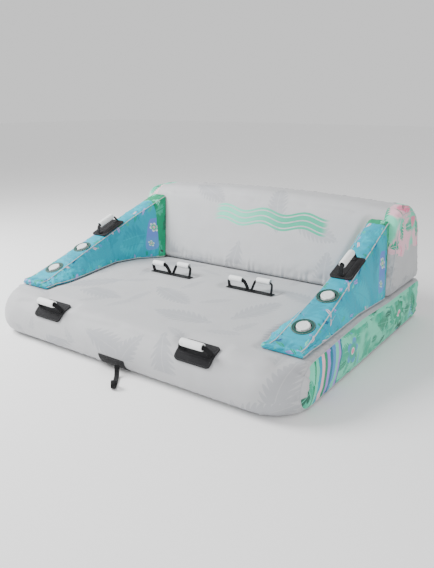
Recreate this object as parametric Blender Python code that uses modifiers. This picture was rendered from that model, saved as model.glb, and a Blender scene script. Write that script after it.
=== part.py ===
"""Towable deck tube for three riders, built the way the real one comes apart: air
chambers inside zipped covers, with grab handles, valves, zips and a tow point.

Metres, +Z up. The origin is the middle of the bottom panel's underside. The front
lip faces -Y, the backrest stands at +Y, and the tube is the same on both sides of X.
"""

import math

import bmesh
import bpy
from mathutils import Matrix, Vector

# Whole tube
HALF_WIDTH = 1.0
FRONT_Y = -0.87
REAR_Y = 0.865

# Shells
COVER = 0.003
BLADDER = 0.003
BLADDER_INSET = 0.008
GAP = 0.0005

# Base: a flat slab with a rounded front lip and a deck that dips towards the backrest
PANEL_THICK = 0.002
BASE_Z = 0.0025
LIP_TOP = 0.226
LIP_RADIUS = 0.13
KEEL_RADIUS = 0.085
DECK_PEAK_Y = -0.05
DECK_PEAK_Z = 0.262
DECK_ROUND = 1.5
CREASE_Y = 0.30
SHELF_Z = 0.244
FRONT_PLAN_RADIUS = 0.20
REAR_PLAN_RADIUS = 0.05
BASE_EDGE = 0.03

# Backrest: a wedge on the base's rear shelf, with a front face that leans back
BACK_FOOT_Y = 0.315
BACK_Z = 0.2465
BACK_HEAD_Y = 0.53
BACK_REAR_Y = 0.855
BACK_TOP = 0.71
BACK_CROWN = 0.04
BACK_HALF = 0.992
BACK_EDGE = 0.05
BACK_TAPER = 0.04
DECK_RISE = (DECK_PEAK_Z - LIP_TOP) / (DECK_PEAK_Y - FRONT_Y)
LIP_CENTRE_Z = LIP_TOP + LIP_RADIUS * (DECK_RISE - math.hypot(1, DECK_RISE))
BACK_LEAN = (BACK_HEAD_Y - BACK_FOOT_Y) / (BACK_TOP - BACK_Z)

# Armrests: wedges that rise from the lip to the backrest
ARM_FRONT_Y = -0.65
ARM_REAR_Y = 0.3105
ARM_OUTER = 0.972
ARM_TOP_Y = -0.65
ARM_TOP_Z = 0.255
ARM_SLOPE = 0.352
ARM_LEAST = 0.033
ARM_ON_DECK = 0.003
ARM_LEAN_FROM = -0.05

# Valves: a welded body in the bladder, a ring on the cover and a hinged cap
VALVE_HOLE_COVER = 0.0385
VALVE_HOLE_BLADDER = 0.030
VALVE_RING = 0.058
VALVE_RING_BORE = 0.040
VALVE_RING_TOP = 0.003
VALVE_FLANGE = 0.036
VALVE_WALL = 0.002
VALVE_DEPTH = 0.024
VALVE_NECK = 0.0290
VALVE_BORE = 0.018
VALVE_CAP = 0.034
CAP_FOOT = 0.0036
CAP_TOP = 0.0095
CAP_HINGE = 0.037
CAP_HINGE_H = 0.0045

# Handles
PAD_LENGTH = 0.205
PAD_WIDTH = 0.125
PAD_THICK = 0.008
HINGE_ABOVE = 0.0055
WEB_THICK = 0.0025
WEB_WIDTH = 0.024
WEB_ROOT = 0.009
GRIP_RADIUS = 0.019
GRIP_BORE = 0.0135
GRIP_LENGTH = 0.125
GRIP_RISE = 0.046
GRIP_EDGE = 0.003
LOOP_HALF = 0.092
LOOP_SLOPE = 0.026
TWIN_LENGTH = 0.31
TWIN_WIDTH = 0.045
TWIN_RISE = 0.062
TWIN_GRIP = 0.088
TWIN_RADIUS = 0.017
TWIN_SLOPE = 0.016
TWIN_TILT = math.radians(25)

# Where the handles, valves and drains sit
FRONT_HANDLE_X = 0.5
FRONT_PAD_ANGLE = 57
ARM_HANDLE_X = 0.868
ARM_HANDLE_Y = 0.0
DECK_HANDLE_X = 0.292
DECK_HANDLE_Y = -0.03
ARM_VALVES = (("front", 0.868, -0.48), ("rear", 0.872, -0.24))
BASE_VALVE = (-0.35, REAR_Y, 0.118)
BACK_VALVE = (0.40, BACK_REAR_Y, 0.50)
DRAIN_X = 0.70
DRAIN_Z = 0.10
DRAIN_RIM = 0.034
DRAIN_DISC = 0.024

# Tow loop: it leaves the keel sideways, runs along the floor and ends in an eye
TOW_LENGTH = 0.17
TOW_HEADING = -52
TOW_ROOT = (0.05, FRONT_Y - 0.008, 0.054)
TOW_EYE = 0.019
TOW_UNDER = 0.0035
TOW_PATCH = 0.18
HARNESS_WIDTH = 0.04
HARNESS_REACH = 0.62

# Zips: height, half-length and where the slider starts, for the base and the backrest
ZIP_WIDTH = 0.028
ZIPS = (("base", REAR_Y, 0.203, 0.62, 0.58), ("backrest", BACK_REAR_Y, 0.36, 0.70, 0.66))
SLIDER = (0.014, 0.009, 0.005)
PULL = (0.007, 0.030, 0.0015)

ROUND_STEPS = 16
GRIP_STEPS = 10

COLOURS = {
    "cover_grey": (0.70, 0.70, 0.70, 0.55, 0.0),
    "cover_teal": (0.03, 0.42, 0.55, 0.55, 0.0),
    "bladder_pvc": (0.10, 0.10, 0.11, 0.45, 0.0),
    "panel_black": (0.03, 0.03, 0.03, 0.6, 0.0),
    "webbing": (0.01, 0.01, 0.01, 0.85, 0.0),
    "foam_white": (0.85, 0.85, 0.85, 0.7, 0.0),
    "pad_black": (0.015, 0.015, 0.015, 0.8, 0.0),
    "valve_white": (0.80, 0.80, 0.80, 0.35, 0.0),
    "valve_ring": (0.01, 0.06, 0.05, 0.6, 0.0),
    "zip_black": (0.02, 0.02, 0.02, 0.6, 0.0),
    "zip_metal": (0.30, 0.30, 0.31, 0.35, 1.0),
}


# ---- Scene and materials


def clear_scene():
    for obj in list(bpy.data.objects):
        bpy.data.objects.remove(obj, do_unlink=True)


def make_collection(name):
    collection = bpy.data.collections.new(name)
    bpy.context.scene.collection.children.link(collection)
    return collection


def make_materials():
    made = {}
    for name, (red, green, blue, roughness, metallic) in COLOURS.items():
        material = bpy.data.materials.new(name)
        material.use_nodes = True
        shader = material.node_tree.nodes["Principled BSDF"]
        shader.inputs["Base Color"].default_value = (red, green, blue, 1.0)
        shader.inputs["Roughness"].default_value = roughness
        shader.inputs["Metallic"].default_value = metallic
        made[name] = material
    return made


def add_object(name, data, material, frame=None):
    obj = bpy.data.objects.new(name, data)
    obj.data.materials.append(MATERIALS[material])
    PARTS.objects.link(obj)
    if frame is not None:
        obj.matrix_world = frame
    return obj


def up(height):
    return Matrix.Translation((0, 0, height))


def attach(obj, name, frame):
    """Parents obj to an empty that lies on its joint's axis."""
    pivot = bpy.data.objects.new(name, None)
    PARTS.objects.link(pivot)
    pivot.matrix_world = frame
    obj.parent = pivot
    obj.matrix_parent_inverse = frame.inverted()


def frame_at(origin, normal, along):
    """A frame with +Z on the normal and +X as near to along as it can be."""
    z = Vector(normal).normalized()
    x = Vector(along)
    x = (x - z * x.dot(z)).normalized()
    y = z.cross(x)
    return Matrix.Translation(origin) @ Matrix((x, y, z)).transposed().to_4x4()


# ---- Shape helpers


def rounded(corners):
    """A closed outline from (a, b, radius, steps) corners, each turned into an arc."""
    points = []
    for i, (a, b, radius, steps) in enumerate(corners):
        here = Vector((a, b))
        before = Vector(corners[i - 1][:2]) - here
        after = Vector(corners[(i + 1) % len(corners)][:2]) - here
        u = before.normalized()
        v = after.normalized()
        half = u.angle(v) / 2
        centre = here + (u + v).normalized() * (radius / math.sin(half))
        start = here + u * (radius / math.tan(half)) - centre
        sweep = start.angle_signed(here + v * (radius / math.tan(half)) - centre)
        for k in range(steps + 1):
            turn = Matrix.Rotation(-sweep * k / steps, 2)
            points.append(centre + turn @ start)
    return points


def arc_inset(distance, radius):
    """How far an edge of this radius has turned in, this far into its arc."""
    if distance <= 0:
        return 0.0
    return radius - math.sqrt(max(radius**2 - distance**2, 0.0))


def loft(name, rings, material):
    """A closed skin through rings of equal length, with both ends capped."""
    bm = bmesh.new()
    loops = [[bm.verts.new(point) for point in ring] for ring in rings]
    for first, second in zip(loops, loops[1:]):
        for i in range(len(first)):
            j = (i + 1) % len(first)
            bm.faces.new((first[i], first[j], second[j], second[i]))
    bm.faces.new(loops[0])
    bm.faces.new(loops[-1])
    bmesh.ops.recalc_face_normals(bm, faces=bm.faces)
    mesh = bpy.data.meshes.new(name)
    bm.to_mesh(mesh)
    bm.free()
    mesh.shade_smooth()
    mesh.set_sharp_from_angle(angle=math.radians(40))
    return add_object(name, mesh, material)


def hollow(obj, thickness, inset=0.0):
    """Moves the skin in by inset, then gives it a wall on its inner side."""
    if inset:
        shrink = obj.modifiers.new("inset", "DISPLACE")
        shrink.strength = -inset
        shrink.mid_level = 0.0
    wall = obj.modifiers.new("wall", "SOLIDIFY")
    wall.thickness = thickness
    wall.offset = -1.0


def drill(obj, frame, radius, reach):
    """Cuts a round hole through obj's wall, centred on the frame's +Z."""
    bm = bmesh.new()
    bmesh.ops.create_cone(
        bm,
        cap_ends=True,
        segments=ROUND_STEPS,
        radius1=radius,
        radius2=radius,
        depth=2 * reach,
    )
    mesh = bpy.data.meshes.new("cutter")
    bm.to_mesh(mesh)
    bm.free()
    cutter = bpy.data.objects.new("cutter", mesh)
    CUTTERS.objects.link(cutter)
    cutter.matrix_world = frame
    cutter.hide_render = True
    cutter.display_type = "WIRE"
    cut = obj.modifiers.new("hole", "BOOLEAN")
    cut.operation = "DIFFERENCE"
    cut.object = cutter


def turned(name, profile, material, frame, closed=True, steps=ROUND_STEPS):
    """Turns an (r, z) profile that runs down its outer side about +Z."""
    bm = bmesh.new()
    verts = [bm.verts.new((r, 0.0, z)) for r, z in profile]
    for first, second in zip(verts, verts[1:]):
        bm.edges.new((first, second))
    if closed:
        bm.edges.new((verts[-1], verts[0]))
    mesh = bpy.data.meshes.new(name)
    bm.to_mesh(mesh)
    bm.free()
    obj = add_object(name, mesh, material, frame)
    screw = obj.modifiers.new("turn", "SCREW")
    screw.axis = "Z"
    screw.steps = steps
    screw.render_steps = steps
    screw.use_merge_vertices = True
    screw.merge_threshold = 0.00005
    screw.use_smooth_shade = True
    return obj


def strip(name, path, widths, thickness, material, frame):
    """A webbing strip: path in the frame's XZ plane, its width along Y."""
    bm = bmesh.new()
    rows = []
    for (u, w), width in zip(path, widths):
        rows.append([bm.verts.new((u, side * width / 2, w)) for side in (-1, 1)])
    for first, second in zip(rows, rows[1:]):
        bm.faces.new((first[0], second[0], second[1], first[1]))
    mesh = bpy.data.meshes.new(name)
    bm.to_mesh(mesh)
    bm.free()
    obj = add_object(name, mesh, material, frame)
    body = obj.modifiers.new("body", "SOLIDIFY")
    body.thickness = thickness
    body.offset = 0.0
    body.use_even_offset = True
    return obj


def plate(name, outline, thickness, material, frame):
    """A flat piece: the outline in the frame's XY plane, centred on its thickness."""
    curve = bpy.data.curves.new(name, "CURVE")
    curve.dimensions = "2D"
    curve.fill_mode = "BOTH"
    curve.extrude = thickness / 2
    spline = curve.splines.new("POLY")
    spline.points.add(len(outline) - 1)
    for point, (a, b) in zip(spline.points, outline):
        point.co = (a, b, 0.0, 1.0)
    spline.use_cyclic_u = True
    return add_object(name, curve, material, frame)


def rounded_box(name, size, bevel, material, frame):
    bm = bmesh.new()
    bmesh.ops.create_cube(bm, size=1.0)
    bmesh.ops.scale(bm, vec=size, verts=bm.verts)
    mesh = bpy.data.meshes.new(name)
    bm.to_mesh(mesh)
    bm.free()
    obj = add_object(name, mesh, material, frame)
    edge = obj.modifiers.new("edge", "BEVEL")
    edge.width = bevel
    edge.segments = 1
    return obj


def rectangle(length, width, radius, steps=3):
    a = length / 2
    b = width / 2
    return rounded([(x, y, radius, steps) for x, y in ((-a, -b), (a, -b), (a, b), (-a, b))])


# ---- Chambers


def base_ring(x):
    into = abs(x) - HALF_WIDTH
    edge = arc_inset(into + BASE_EDGE, BASE_EDGE)
    front = FRONT_Y + arc_inset(into + FRONT_PLAN_RADIUS, FRONT_PLAN_RADIUS)
    rear = REAR_Y - arc_inset(into + REAR_PLAN_RADIUS, REAR_PLAN_RADIUS)
    outline = rounded(
        [
            (front, BASE_Z + edge, KEEL_RADIUS, 4),
            (rear, BASE_Z + edge, 0.04, 2),
            (rear, SHELF_Z - edge, 0.02, 2),
            (CREASE_Y, SHELF_Z - edge, 0.2, 1),
            (DECK_PEAK_Y, DECK_PEAK_Z - edge, DECK_ROUND, 2),
            (front, LIP_TOP - edge, LIP_RADIUS - edge, 6),
        ]
    )
    return [(x, y, z) for y, z in outline]


def mirrored(values):
    return [-v for v in reversed(values) if v] + list(values)


def base_rings():
    turn = [FRONT_PLAN_RADIUS * math.sin(math.radians(a)) for a in (0, 22, 42, 58)]
    near = [HALF_WIDTH - FRONT_PLAN_RADIUS + t for t in turn]
    last = [HALF_WIDTH - BASE_EDGE * (1 - f) for f in (0.5, 0.85, 1.0)]
    return [base_ring(x) for x in mirrored(near + last)]


def deck_z(y):
    if y < DECK_PEAK_Y:
        return LIP_TOP + (y - FRONT_Y) * DECK_RISE
    fall = (DECK_PEAK_Z - SHELF_Z) / (CREASE_Y - DECK_PEAK_Y)
    return max(SHELF_Z, DECK_PEAK_Z - (y - DECK_PEAK_Y) * fall)


def back_ring(x):
    edge = arc_inset(abs(x) - BACK_HALF + BACK_EDGE, BACK_EDGE)
    top = BACK_TOP + BACK_CROWN * (1 - (x / BACK_HALF) ** 2) - edge
    foot = BACK_FOOT_Y + edge
    outline = rounded(
        [
            (foot, BACK_Z + edge, 0.03, 2),
            (BACK_REAR_Y - edge, BACK_Z + edge, 0.03, 2),
            (BACK_REAR_Y - edge, top, 0.13, 5),
            (foot + BACK_LEAN * (top - BACK_Z - edge), top, 0.09, 4),
        ]
    )
    height = BACK_TOP - BACK_Z
    return [(x * (1 - BACK_TAPER * (z - BACK_Z) / height), y, z) for y, z in outline]


def back_rings():
    near = [0.0, 0.35, 0.65, BACK_HALF - BACK_EDGE]
    last = [BACK_HALF - BACK_EDGE * (1 - f) for f in (0.5, 0.8, 0.95)]
    return [back_ring(x) for x in mirrored(near + last)]


def arm_lean(y):
    return BACK_LEAN * max(0.0, (y - ARM_LEAN_FROM) / (ARM_REAR_Y - ARM_LEAN_FROM))


def arm_ring(y, foot, head, shoulder, side):
    """One section of an armrest. It leans back with the backrest's front face."""
    low = deck_z(y) + ARM_ON_DECK
    lean = arm_lean(y)
    level = ARM_TOP_Z + ARM_SLOPE * (y - ARM_TOP_Y - lean * low)
    top = max(level / (1 - ARM_SLOPE * lean), low + ARM_LEAST)
    outline = rounded(
        [
            (foot, low, min(0.015, 0.3 * (top - low)), 2),
            (ARM_OUTER, low, 0.012, 2),
            (shoulder, top, min(0.03, 0.5 * (top - low)), 4),
            (head, top, min(0.03, 0.5 * (top - low)), 4),
        ]
    )
    return [(side * x, y + lean * (z - low), z) for x, z in outline]


# y on the deck, then x of the inner foot, the top's inner edge and its outer edge
ARM_SECTIONS = (
    (ARM_FRONT_Y, 0.68, 0.79, 0.945),
    (-0.60, 0.68, 0.793, 0.944),
    (-0.50, 0.69, 0.80, 0.942),
    (-0.28, 0.73, 0.81, 0.935),
    (DECK_PEAK_Y, 0.76, 0.812, 0.925),
    (0.13, 0.74, 0.805, 0.912),
    (ARM_REAR_Y, 0.63, 0.775, 0.895),
)


def arm_rings(side):
    return [arm_ring(*section, side) for section in ARM_SECTIONS]


def chamber(name, rings, material):
    cover = loft(name.replace("*", "cover"), rings, material)
    hollow(cover, COVER)
    bladder = loft(name.replace("*", "bladder"), rings, "bladder_pvc")
    hollow(bladder, BLADDER, BLADDER_INSET)
    return cover, bladder


# ---- Valves


def valve(name, frame, cover, bladder):
    """frame: +Z out of the cover's outer face, +X towards the cap's hinge."""
    drill(cover, frame, VALVE_HOLE_COVER, 0.02)
    drill(bladder, frame, VALVE_HOLE_BLADDER, 0.02)
    ring = [
        (VALVE_RING, VALVE_WALL),
        (VALVE_RING, GAP),
        (VALVE_RING_BORE, GAP),
        (VALVE_RING_BORE, VALVE_RING_TOP),
        (VALVE_RING - 2 * VALVE_WALL, VALVE_RING_TOP),
    ]
    turned(name + "_ring", ring, "valve_ring", frame)
    seat = -BLADDER_INSET + GAP
    neck = VALVE_NECK - VALVE_WALL
    body = [
        (neck, VALVE_RING_TOP),
        (neck, seat + VALVE_WALL),
        (VALVE_FLANGE, seat + VALVE_WALL),
        (VALVE_FLANGE, seat),
        (VALVE_NECK, seat),
        (VALVE_NECK, -VALVE_DEPTH),
        (VALVE_BORE, -VALVE_DEPTH),
        (VALVE_BORE, VALVE_RING_TOP),
    ]
    turned(name + "_body", body, "valve_white", frame)
    lift = CAP_HINGE_H
    plug = VALVE_BORE - VALVE_WALL / 2
    cap = [
        (0.0, CAP_TOP - lift),
        (VALVE_CAP - 2 * VALVE_WALL, CAP_TOP - lift),
        (VALVE_CAP, CAP_TOP - VALVE_WALL - lift),
        (VALVE_CAP, CAP_FOOT - lift),
        (plug, CAP_FOOT - lift),
        (plug, -VALVE_WALL / 2 - lift),
        (0.0, -VALVE_WALL / 2 - lift),
    ]
    obj = turned(name + "_cap", cap, "valve_white", frame @ up(lift), closed=False)
    attach(obj, name + "_cap_pivot", frame @ Matrix.Translation((CAP_HINGE, 0, lift)))


# ---- Handles


def loop_path(half, rise, slope):
    """Webbing from one root, up to the grip's height, and down to the other root."""
    side = [(half, 0.0), (half - slope * 0.35, rise * 0.55), (half - slope, rise)]
    return [(-u, w) for u, w in side] + [(u, w) for u, w in reversed(side)]


def grip(name, length, radius, frame):
    half = length / 2
    profile = [
        (GRIP_BORE, half),
        (radius - GRIP_EDGE, half),
        (radius, half - GRIP_EDGE),
        (radius, GRIP_EDGE - half),
        (radius - GRIP_EDGE, -half),
        (GRIP_BORE, -half),
    ]
    along = frame @ Matrix.Rotation(math.pi / 2, 4, "Y")
    return turned(name, profile, "foam_white", along, steps=GRIP_STEPS)


def swinging_handle(name, frame, half, rise, slope, grip_size, tilt):
    """frame: on the root line, +X along the grip, +Z away from the tube."""
    tilted = frame @ Matrix.Rotation(tilt, 4, "X")
    shoulder = 0.75 * WEB_WIDTH
    widths = [WEB_ROOT, shoulder, WEB_WIDTH, WEB_WIDTH, shoulder, WEB_ROOT]
    web = strip(name + "_loop", loop_path(half, rise, slope), widths, WEB_THICK, "webbing", tilted)
    hold = grip(name + "_grip", *grip_size, tilted @ up(rise))
    attach(web, name + "_pivot", tilted)
    attach(hold, name + "_grip_pivot", tilted)


def single_handle(name, pad_top):
    """pad_top: a frame on the knuckle pad's top, +X along the grip."""
    size = (GRIP_LENGTH, GRIP_RADIUS)
    root = pad_top @ up(HINGE_ABOVE)
    swinging_handle(name, root, LOOP_HALF, GRIP_RISE, LOOP_SLOPE, size, 0.0)


def front_handle(name, x):
    """The pad wraps over the lip, so its section is an arc about the lip's centre."""
    steps = 6
    middle = math.radians(FRONT_PAD_ANGLE)
    radius = LIP_RADIUS + 3 * GAP + PAD_THICK / 2
    spread = PAD_WIDTH / 2 / radius
    angles = [middle + spread * (2 * k / steps - 1) for k in range(steps + 1)]
    path = [(-radius * math.cos(a), radius * math.sin(a)) for a in angles]
    centre = Vector((x, FRONT_Y + LIP_RADIUS, LIP_CENTRE_Z))
    across = Matrix.Translation(centre) @ Matrix.Rotation(math.pi / 2, 4, "Z")
    strip(name + "_pad", path, [PAD_LENGTH] * len(path), PAD_THICK, "pad_black", across)
    normal = Vector((0, -math.cos(middle), math.sin(middle)))
    single_handle(name, frame_at(centre + normal * (radius + PAD_THICK / 2), normal, (1, 0, 0)))


def arm_top(x, y):
    """A frame on the armrest's sloping top, +X up the slope."""
    z = ARM_TOP_Z + ARM_SLOPE * (y - ARM_TOP_Y)
    return frame_at((x, y, z), (0, -ARM_SLOPE, 1), (0, 1, ARM_SLOPE))


def arm_handle(name, x, y):
    top = arm_top(x, y)
    outline = rectangle(PAD_LENGTH, PAD_WIDTH, 0.02)
    plate(name + "_pad", outline, PAD_THICK, "pad_black", top @ up(GAP + PAD_THICK / 2))
    single_handle(name, top @ up(GAP + PAD_THICK))


def deck_handle(name, x, y):
    """Two grips side by side on one strap: the outer leans forward, the inner back."""
    deck = Matrix.Translation((x, y, DECK_PEAK_Z))
    outline = rectangle(TWIN_LENGTH, TWIN_WIDTH, 0.006, 2)
    plate(name + "_strap", outline, PANEL_THICK + GAP, "webbing", deck @ up(0.002))
    root = deck @ up(0.0035 + HINGE_ABOVE)
    half = TWIN_LENGTH / 4 - 0.012
    for label, side, tilt in (("left", -1, TWIN_TILT), ("right", 1, -TWIN_TILT)):
        place = root @ Matrix.Translation((side * TWIN_LENGTH / 4, 0, 0))
        size = (TWIN_GRIP, TWIN_RADIUS)
        swinging_handle(f"{name}_{label}", place, half, TWIN_RISE, TWIN_SLOPE, size, tilt)


# ---- Tow point, zips and drains


def tow_patch():
    """A doubled patch that follows the keel's curve."""
    steps = 5
    radius = KEEL_RADIUS + 4 * GAP
    centre = Vector((0, FRONT_Y + KEEL_RADIUS, BASE_Z + KEEL_RADIUS))
    angles = [math.radians(6 + 60 * k / steps) for k in range(steps + 1)]
    path = [(-radius * math.cos(a), -radius * math.sin(a)) for a in angles]
    across = Matrix.Translation(centre) @ Matrix.Rotation(math.pi / 2, 4, "Z")
    strip("tow_patch", path, [TOW_PATCH] * len(path), PANEL_THICK, "webbing", across)


def tow_loop():
    """A webbing strap that drops to the floor and folds back on itself round an eye."""
    steps = 8
    rise = 0.0045
    drop = [(0.0, 0.052), (0.012, 0.030), (0.030, 0.010), (0.055, TOW_UNDER)]
    under = drop + [(TOW_LENGTH - 2.4 * TOW_EYE, TOW_UNDER)]
    over = [(u - 0.001 + 0.15 * w, w + rise) for u, w in reversed(under)]
    centre = (TOW_LENGTH - TOW_EYE, TOW_EYE + TOW_UNDER)
    turns = [math.radians(-90 + 255 * k / steps) for k in range(steps + 1)]
    ring = [(centre[0] + TOW_EYE * math.cos(t), centre[1] + TOW_EYE * math.sin(t)) for t in turns]
    path = under + ring + over
    x, y, z = TOW_ROOT
    frame = Matrix.Translation((x, y, 0)) @ Matrix.Rotation(math.radians(TOW_HEADING), 4, "Z")
    loop = strip("tow_loop", path, [WEB_WIDTH] * len(path), WEB_THICK - GAP, "webbing", frame)
    attach(loop, "tow_loop_pivot", frame @ up(z))


def tow_harness():
    """The strap inside the cover that carries the pull from the tow point to the rear."""
    half = HARNESS_WIDTH / 2
    front = FRONT_Y + 0.11
    rear = -front - 0.10
    outline = [
        (-half, front),
        (half, front),
        (HARNESS_REACH + half, rear),
        (HARNESS_REACH - half, rear),
        (0.0, front + 3 * half),
        (half - HARNESS_REACH, rear),
        (-HARNESS_REACH - half, rear),
    ]
    middle = BASE_Z + (COVER + BLADDER_INSET) / 2
    plate("tow_harness", outline, PANEL_THICK, "webbing", Matrix.Translation((0, 0, middle)))


def zip_fastener(name, y, z, half, at):
    """A tape on a rear face, a slider that starts at x = at, and its hanging pull."""
    face = frame_at((0, y, z), (0, 1, 0), (-1, 0, 0))
    tape = rectangle(2 * half, ZIP_WIDTH, 0.004, 1)
    plate(f"zip_{name}_tape", tape, PANEL_THICK, "zip_black", face @ up(GAP + PANEL_THICK / 2))
    on_tape = face @ Matrix.Translation((-at, 0, GAP + PANEL_THICK + GAP))
    seat = on_tape @ up(SLIDER[2] / 2)
    slider = rounded_box(f"zip_{name}_slider", SLIDER, 0.001, "zip_metal", seat)
    attach(slider, f"zip_{name}_slide", on_tape)
    hook = on_tape @ Matrix.Translation((0, -SLIDER[1] / 2 - 0.001, 0.003))
    hanging = hook @ Matrix.Translation((0, -PULL[1] / 2 - GAP, 0))
    pull = rounded_box(f"zip_{name}_pull", PULL, 0.0004, "zip_metal", hanging)
    attach(pull, f"zip_{name}_pull_pivot", hook)


def drain(name, x):
    face = frame_at((x, REAR_Y, DRAIN_Z), (0, 1, 0), (1, 0, 0))
    rim = 0.0045
    disc = [
        (0.0, PANEL_THICK + GAP),
        (DRAIN_DISC, PANEL_THICK + GAP),
        (DRAIN_DISC + PANEL_THICK, rim),
        (DRAIN_RIM - PANEL_THICK, rim),
        (DRAIN_RIM, PANEL_THICK),
        (DRAIN_RIM, GAP),
        (0.0, GAP),
    ]
    turned(name, disc, "panel_black", face, closed=False)


# ---- The tube


def build():
    floor = Matrix.Translation((0, 0.01, PANEL_THICK / 2))
    plate("bottom_panel", rectangle(1.84, 1.50, 0.12, 4), PANEL_THICK, "panel_black", floor)
    base = chamber("base_*", base_rings(), "cover_grey")
    back = chamber("backrest_*", back_rings(), "cover_grey")
    for label, side in (("left", -1), ("right", 1)):
        arm = chamber(f"arm_*_{label}", arm_rings(side), "cover_teal")
        for spot, x, y in ARM_VALVES:
            frame = arm_top(side * x, y)
            valve(f"valve_arm_{spot}_{label}", frame, *arm)
        front_handle(f"front_handle_{label}", side * FRONT_HANDLE_X)
        arm_handle(f"arm_handle_{label}", side * ARM_HANDLE_X, ARM_HANDLE_Y)
        deck_handle(f"deck_handle_{label}", side * DECK_HANDLE_X, DECK_HANDLE_Y)
        drain(f"drain_vent_{label}", side * DRAIN_X)
    valve("valve_base", frame_at(BASE_VALVE, (0, 1, 0), (0, 0, 1)), *base)
    valve("valve_backrest", frame_at(BACK_VALVE, (0, 1, 0), (0, 0, 1)), *back)
    tow_patch()
    tow_loop()
    tow_harness()
    for name, y, z, half, at in ZIPS:
        zip_fastener(name, y, z, half, at)


clear_scene()
PARTS = make_collection("towable_tube")
CUTTERS = make_collection("cutters")
MATERIALS = make_materials()
build()
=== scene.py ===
"""Towable deck tube: inflated fabric chambers, webbing handles, valves, zips and a tow loop.

Everything is in metres in the CAD model's frame: +X across the tube, the lip at -Y,
the backrest at +Y and the floor at z = 0.
"""

import math
import random

import bmesh
import bpy
import numpy as np
from mathutils import Matrix, Vector
from mathutils.bvhtree import BVHTree
from mathutils.kdtree import KDTree


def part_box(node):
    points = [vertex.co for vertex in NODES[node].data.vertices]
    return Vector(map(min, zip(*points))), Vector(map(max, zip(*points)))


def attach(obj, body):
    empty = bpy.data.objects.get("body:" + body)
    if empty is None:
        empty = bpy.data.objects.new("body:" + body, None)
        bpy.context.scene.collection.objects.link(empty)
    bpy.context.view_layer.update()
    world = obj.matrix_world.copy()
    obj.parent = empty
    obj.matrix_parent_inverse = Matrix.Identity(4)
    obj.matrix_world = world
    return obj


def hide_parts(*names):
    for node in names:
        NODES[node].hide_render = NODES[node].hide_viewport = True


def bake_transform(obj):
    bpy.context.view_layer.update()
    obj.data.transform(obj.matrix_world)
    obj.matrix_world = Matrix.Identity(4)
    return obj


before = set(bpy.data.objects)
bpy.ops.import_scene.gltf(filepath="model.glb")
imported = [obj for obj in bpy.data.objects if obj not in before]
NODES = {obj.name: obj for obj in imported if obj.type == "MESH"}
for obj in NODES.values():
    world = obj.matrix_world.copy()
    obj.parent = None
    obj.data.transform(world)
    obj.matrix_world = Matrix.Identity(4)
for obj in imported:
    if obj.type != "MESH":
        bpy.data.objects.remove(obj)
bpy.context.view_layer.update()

# ---- Driving sizes, as in the CAD model

HALF_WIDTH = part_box("base_cover")[1].x
FRONT_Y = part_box("base_cover")[0].y
REAR_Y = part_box("base_cover")[1].y
BASE_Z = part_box("base_cover")[0].z
LIP_TOP = 0.226
LIP_RADIUS = 0.13
KEEL_RADIUS = 0.085
DECK_PEAK_Y = -0.05
DECK_PEAK_Z = 0.262
CREASE_Y = 0.30
SHELF_Z = 0.244
BASE_EDGE = 0.03
FRONT_PLAN_RADIUS = 0.20
REAR_PLAN_RADIUS = 0.05
BACK_FOOT_Y = 0.315
BACK_Z = 0.2465
BACK_HEAD_Y = 0.53
BACK_REAR_Y = 0.855
BACK_TOP = 0.71
BACK_CROWN = 0.04
BACK_HALF = 0.992
BACK_EDGE = 0.05
BACK_TAPER = 0.04
ARM_REAR_Y = 0.3105
ARM_OUTER = 0.972
ARM_TOP_Y = -0.65
ARM_TOP_Z = 0.255
ARM_SLOPE = 0.352
ARM_LEAST = 0.033
ARM_ON_DECK = 0.003
ARM_LEAN_FROM = -0.05
# y on the deck, then x of the inner foot, the top's inner edge and its outer edge
ARM_SECTIONS = (
    (-0.65, 0.68, 0.79, 0.945),
    (-0.60, 0.68, 0.793, 0.944),
    (-0.50, 0.69, 0.80, 0.942),
    (-0.28, 0.73, 0.81, 0.935),
    (-0.05, 0.76, 0.812, 0.925),
    (0.13, 0.74, 0.805, 0.912),
    (0.3105, 0.63, 0.775, 0.895),
)
DECK_RISE = (DECK_PEAK_Z - LIP_TOP) / (DECK_PEAK_Y - FRONT_Y)
LIP_CENTRE_Z = LIP_TOP + LIP_RADIUS * (DECK_RISE - math.hypot(1, DECK_RISE))
BACK_LEAN = (BACK_HEAD_Y - BACK_FOOT_Y) / (BACK_TOP - BACK_Z)

GAP = 0.0005
PAD_LENGTH = 0.205
PAD_WIDTH = 0.125
PAD_THICK = 0.008
HINGE_ABOVE = 0.0055
WEB_THICK = 0.0025
WEB_WIDTH = 0.024
GRIP_RADIUS = 0.019
GRIP_BORE = 0.0135
GRIP_LENGTH = 0.125
GRIP_RISE = 0.046
LOOP_HALF = 0.092
LOOP_SLOPE = 0.026
TWIN_LENGTH = 0.31
TWIN_WIDTH = 0.045
TWIN_RISE = 0.062
TWIN_GRIP = 0.088
TWIN_RADIUS = 0.017
TWIN_SLOPE = 0.016
TWIN_TILT = math.radians(25)
FRONT_HANDLE_X = 0.5
FRONT_PAD_ANGLE = math.radians(57)
ARM_HANDLE_X = 0.868
ARM_HANDLE_Y = 0.0
DECK_HANDLE_X = 0.292
DECK_HANDLE_Y = -0.03
ARM_VALVES = (("front", 0.868, -0.48), ("rear", 0.872, -0.24))
BASE_VALVE = (-0.35, REAR_Y, 0.118)
BACK_VALVE = (0.40, BACK_REAR_Y, 0.50)
VALVE_RING = 0.058
VALVE_RING_BORE = 0.040
VALVE_NECK = 0.029
VALVE_BORE = 0.018
VALVE_CAP = 0.034
CAP_HINGE = 0.037
CAP_HINGE_H = 0.0045
DRAIN_X = 0.70
DRAIN_Z = 0.10
TOW_LENGTH = 0.17
TOW_HEADING = math.radians(-52)
TOW_ROOT = (0.05, FRONT_Y - 0.008, 0.054)
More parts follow.
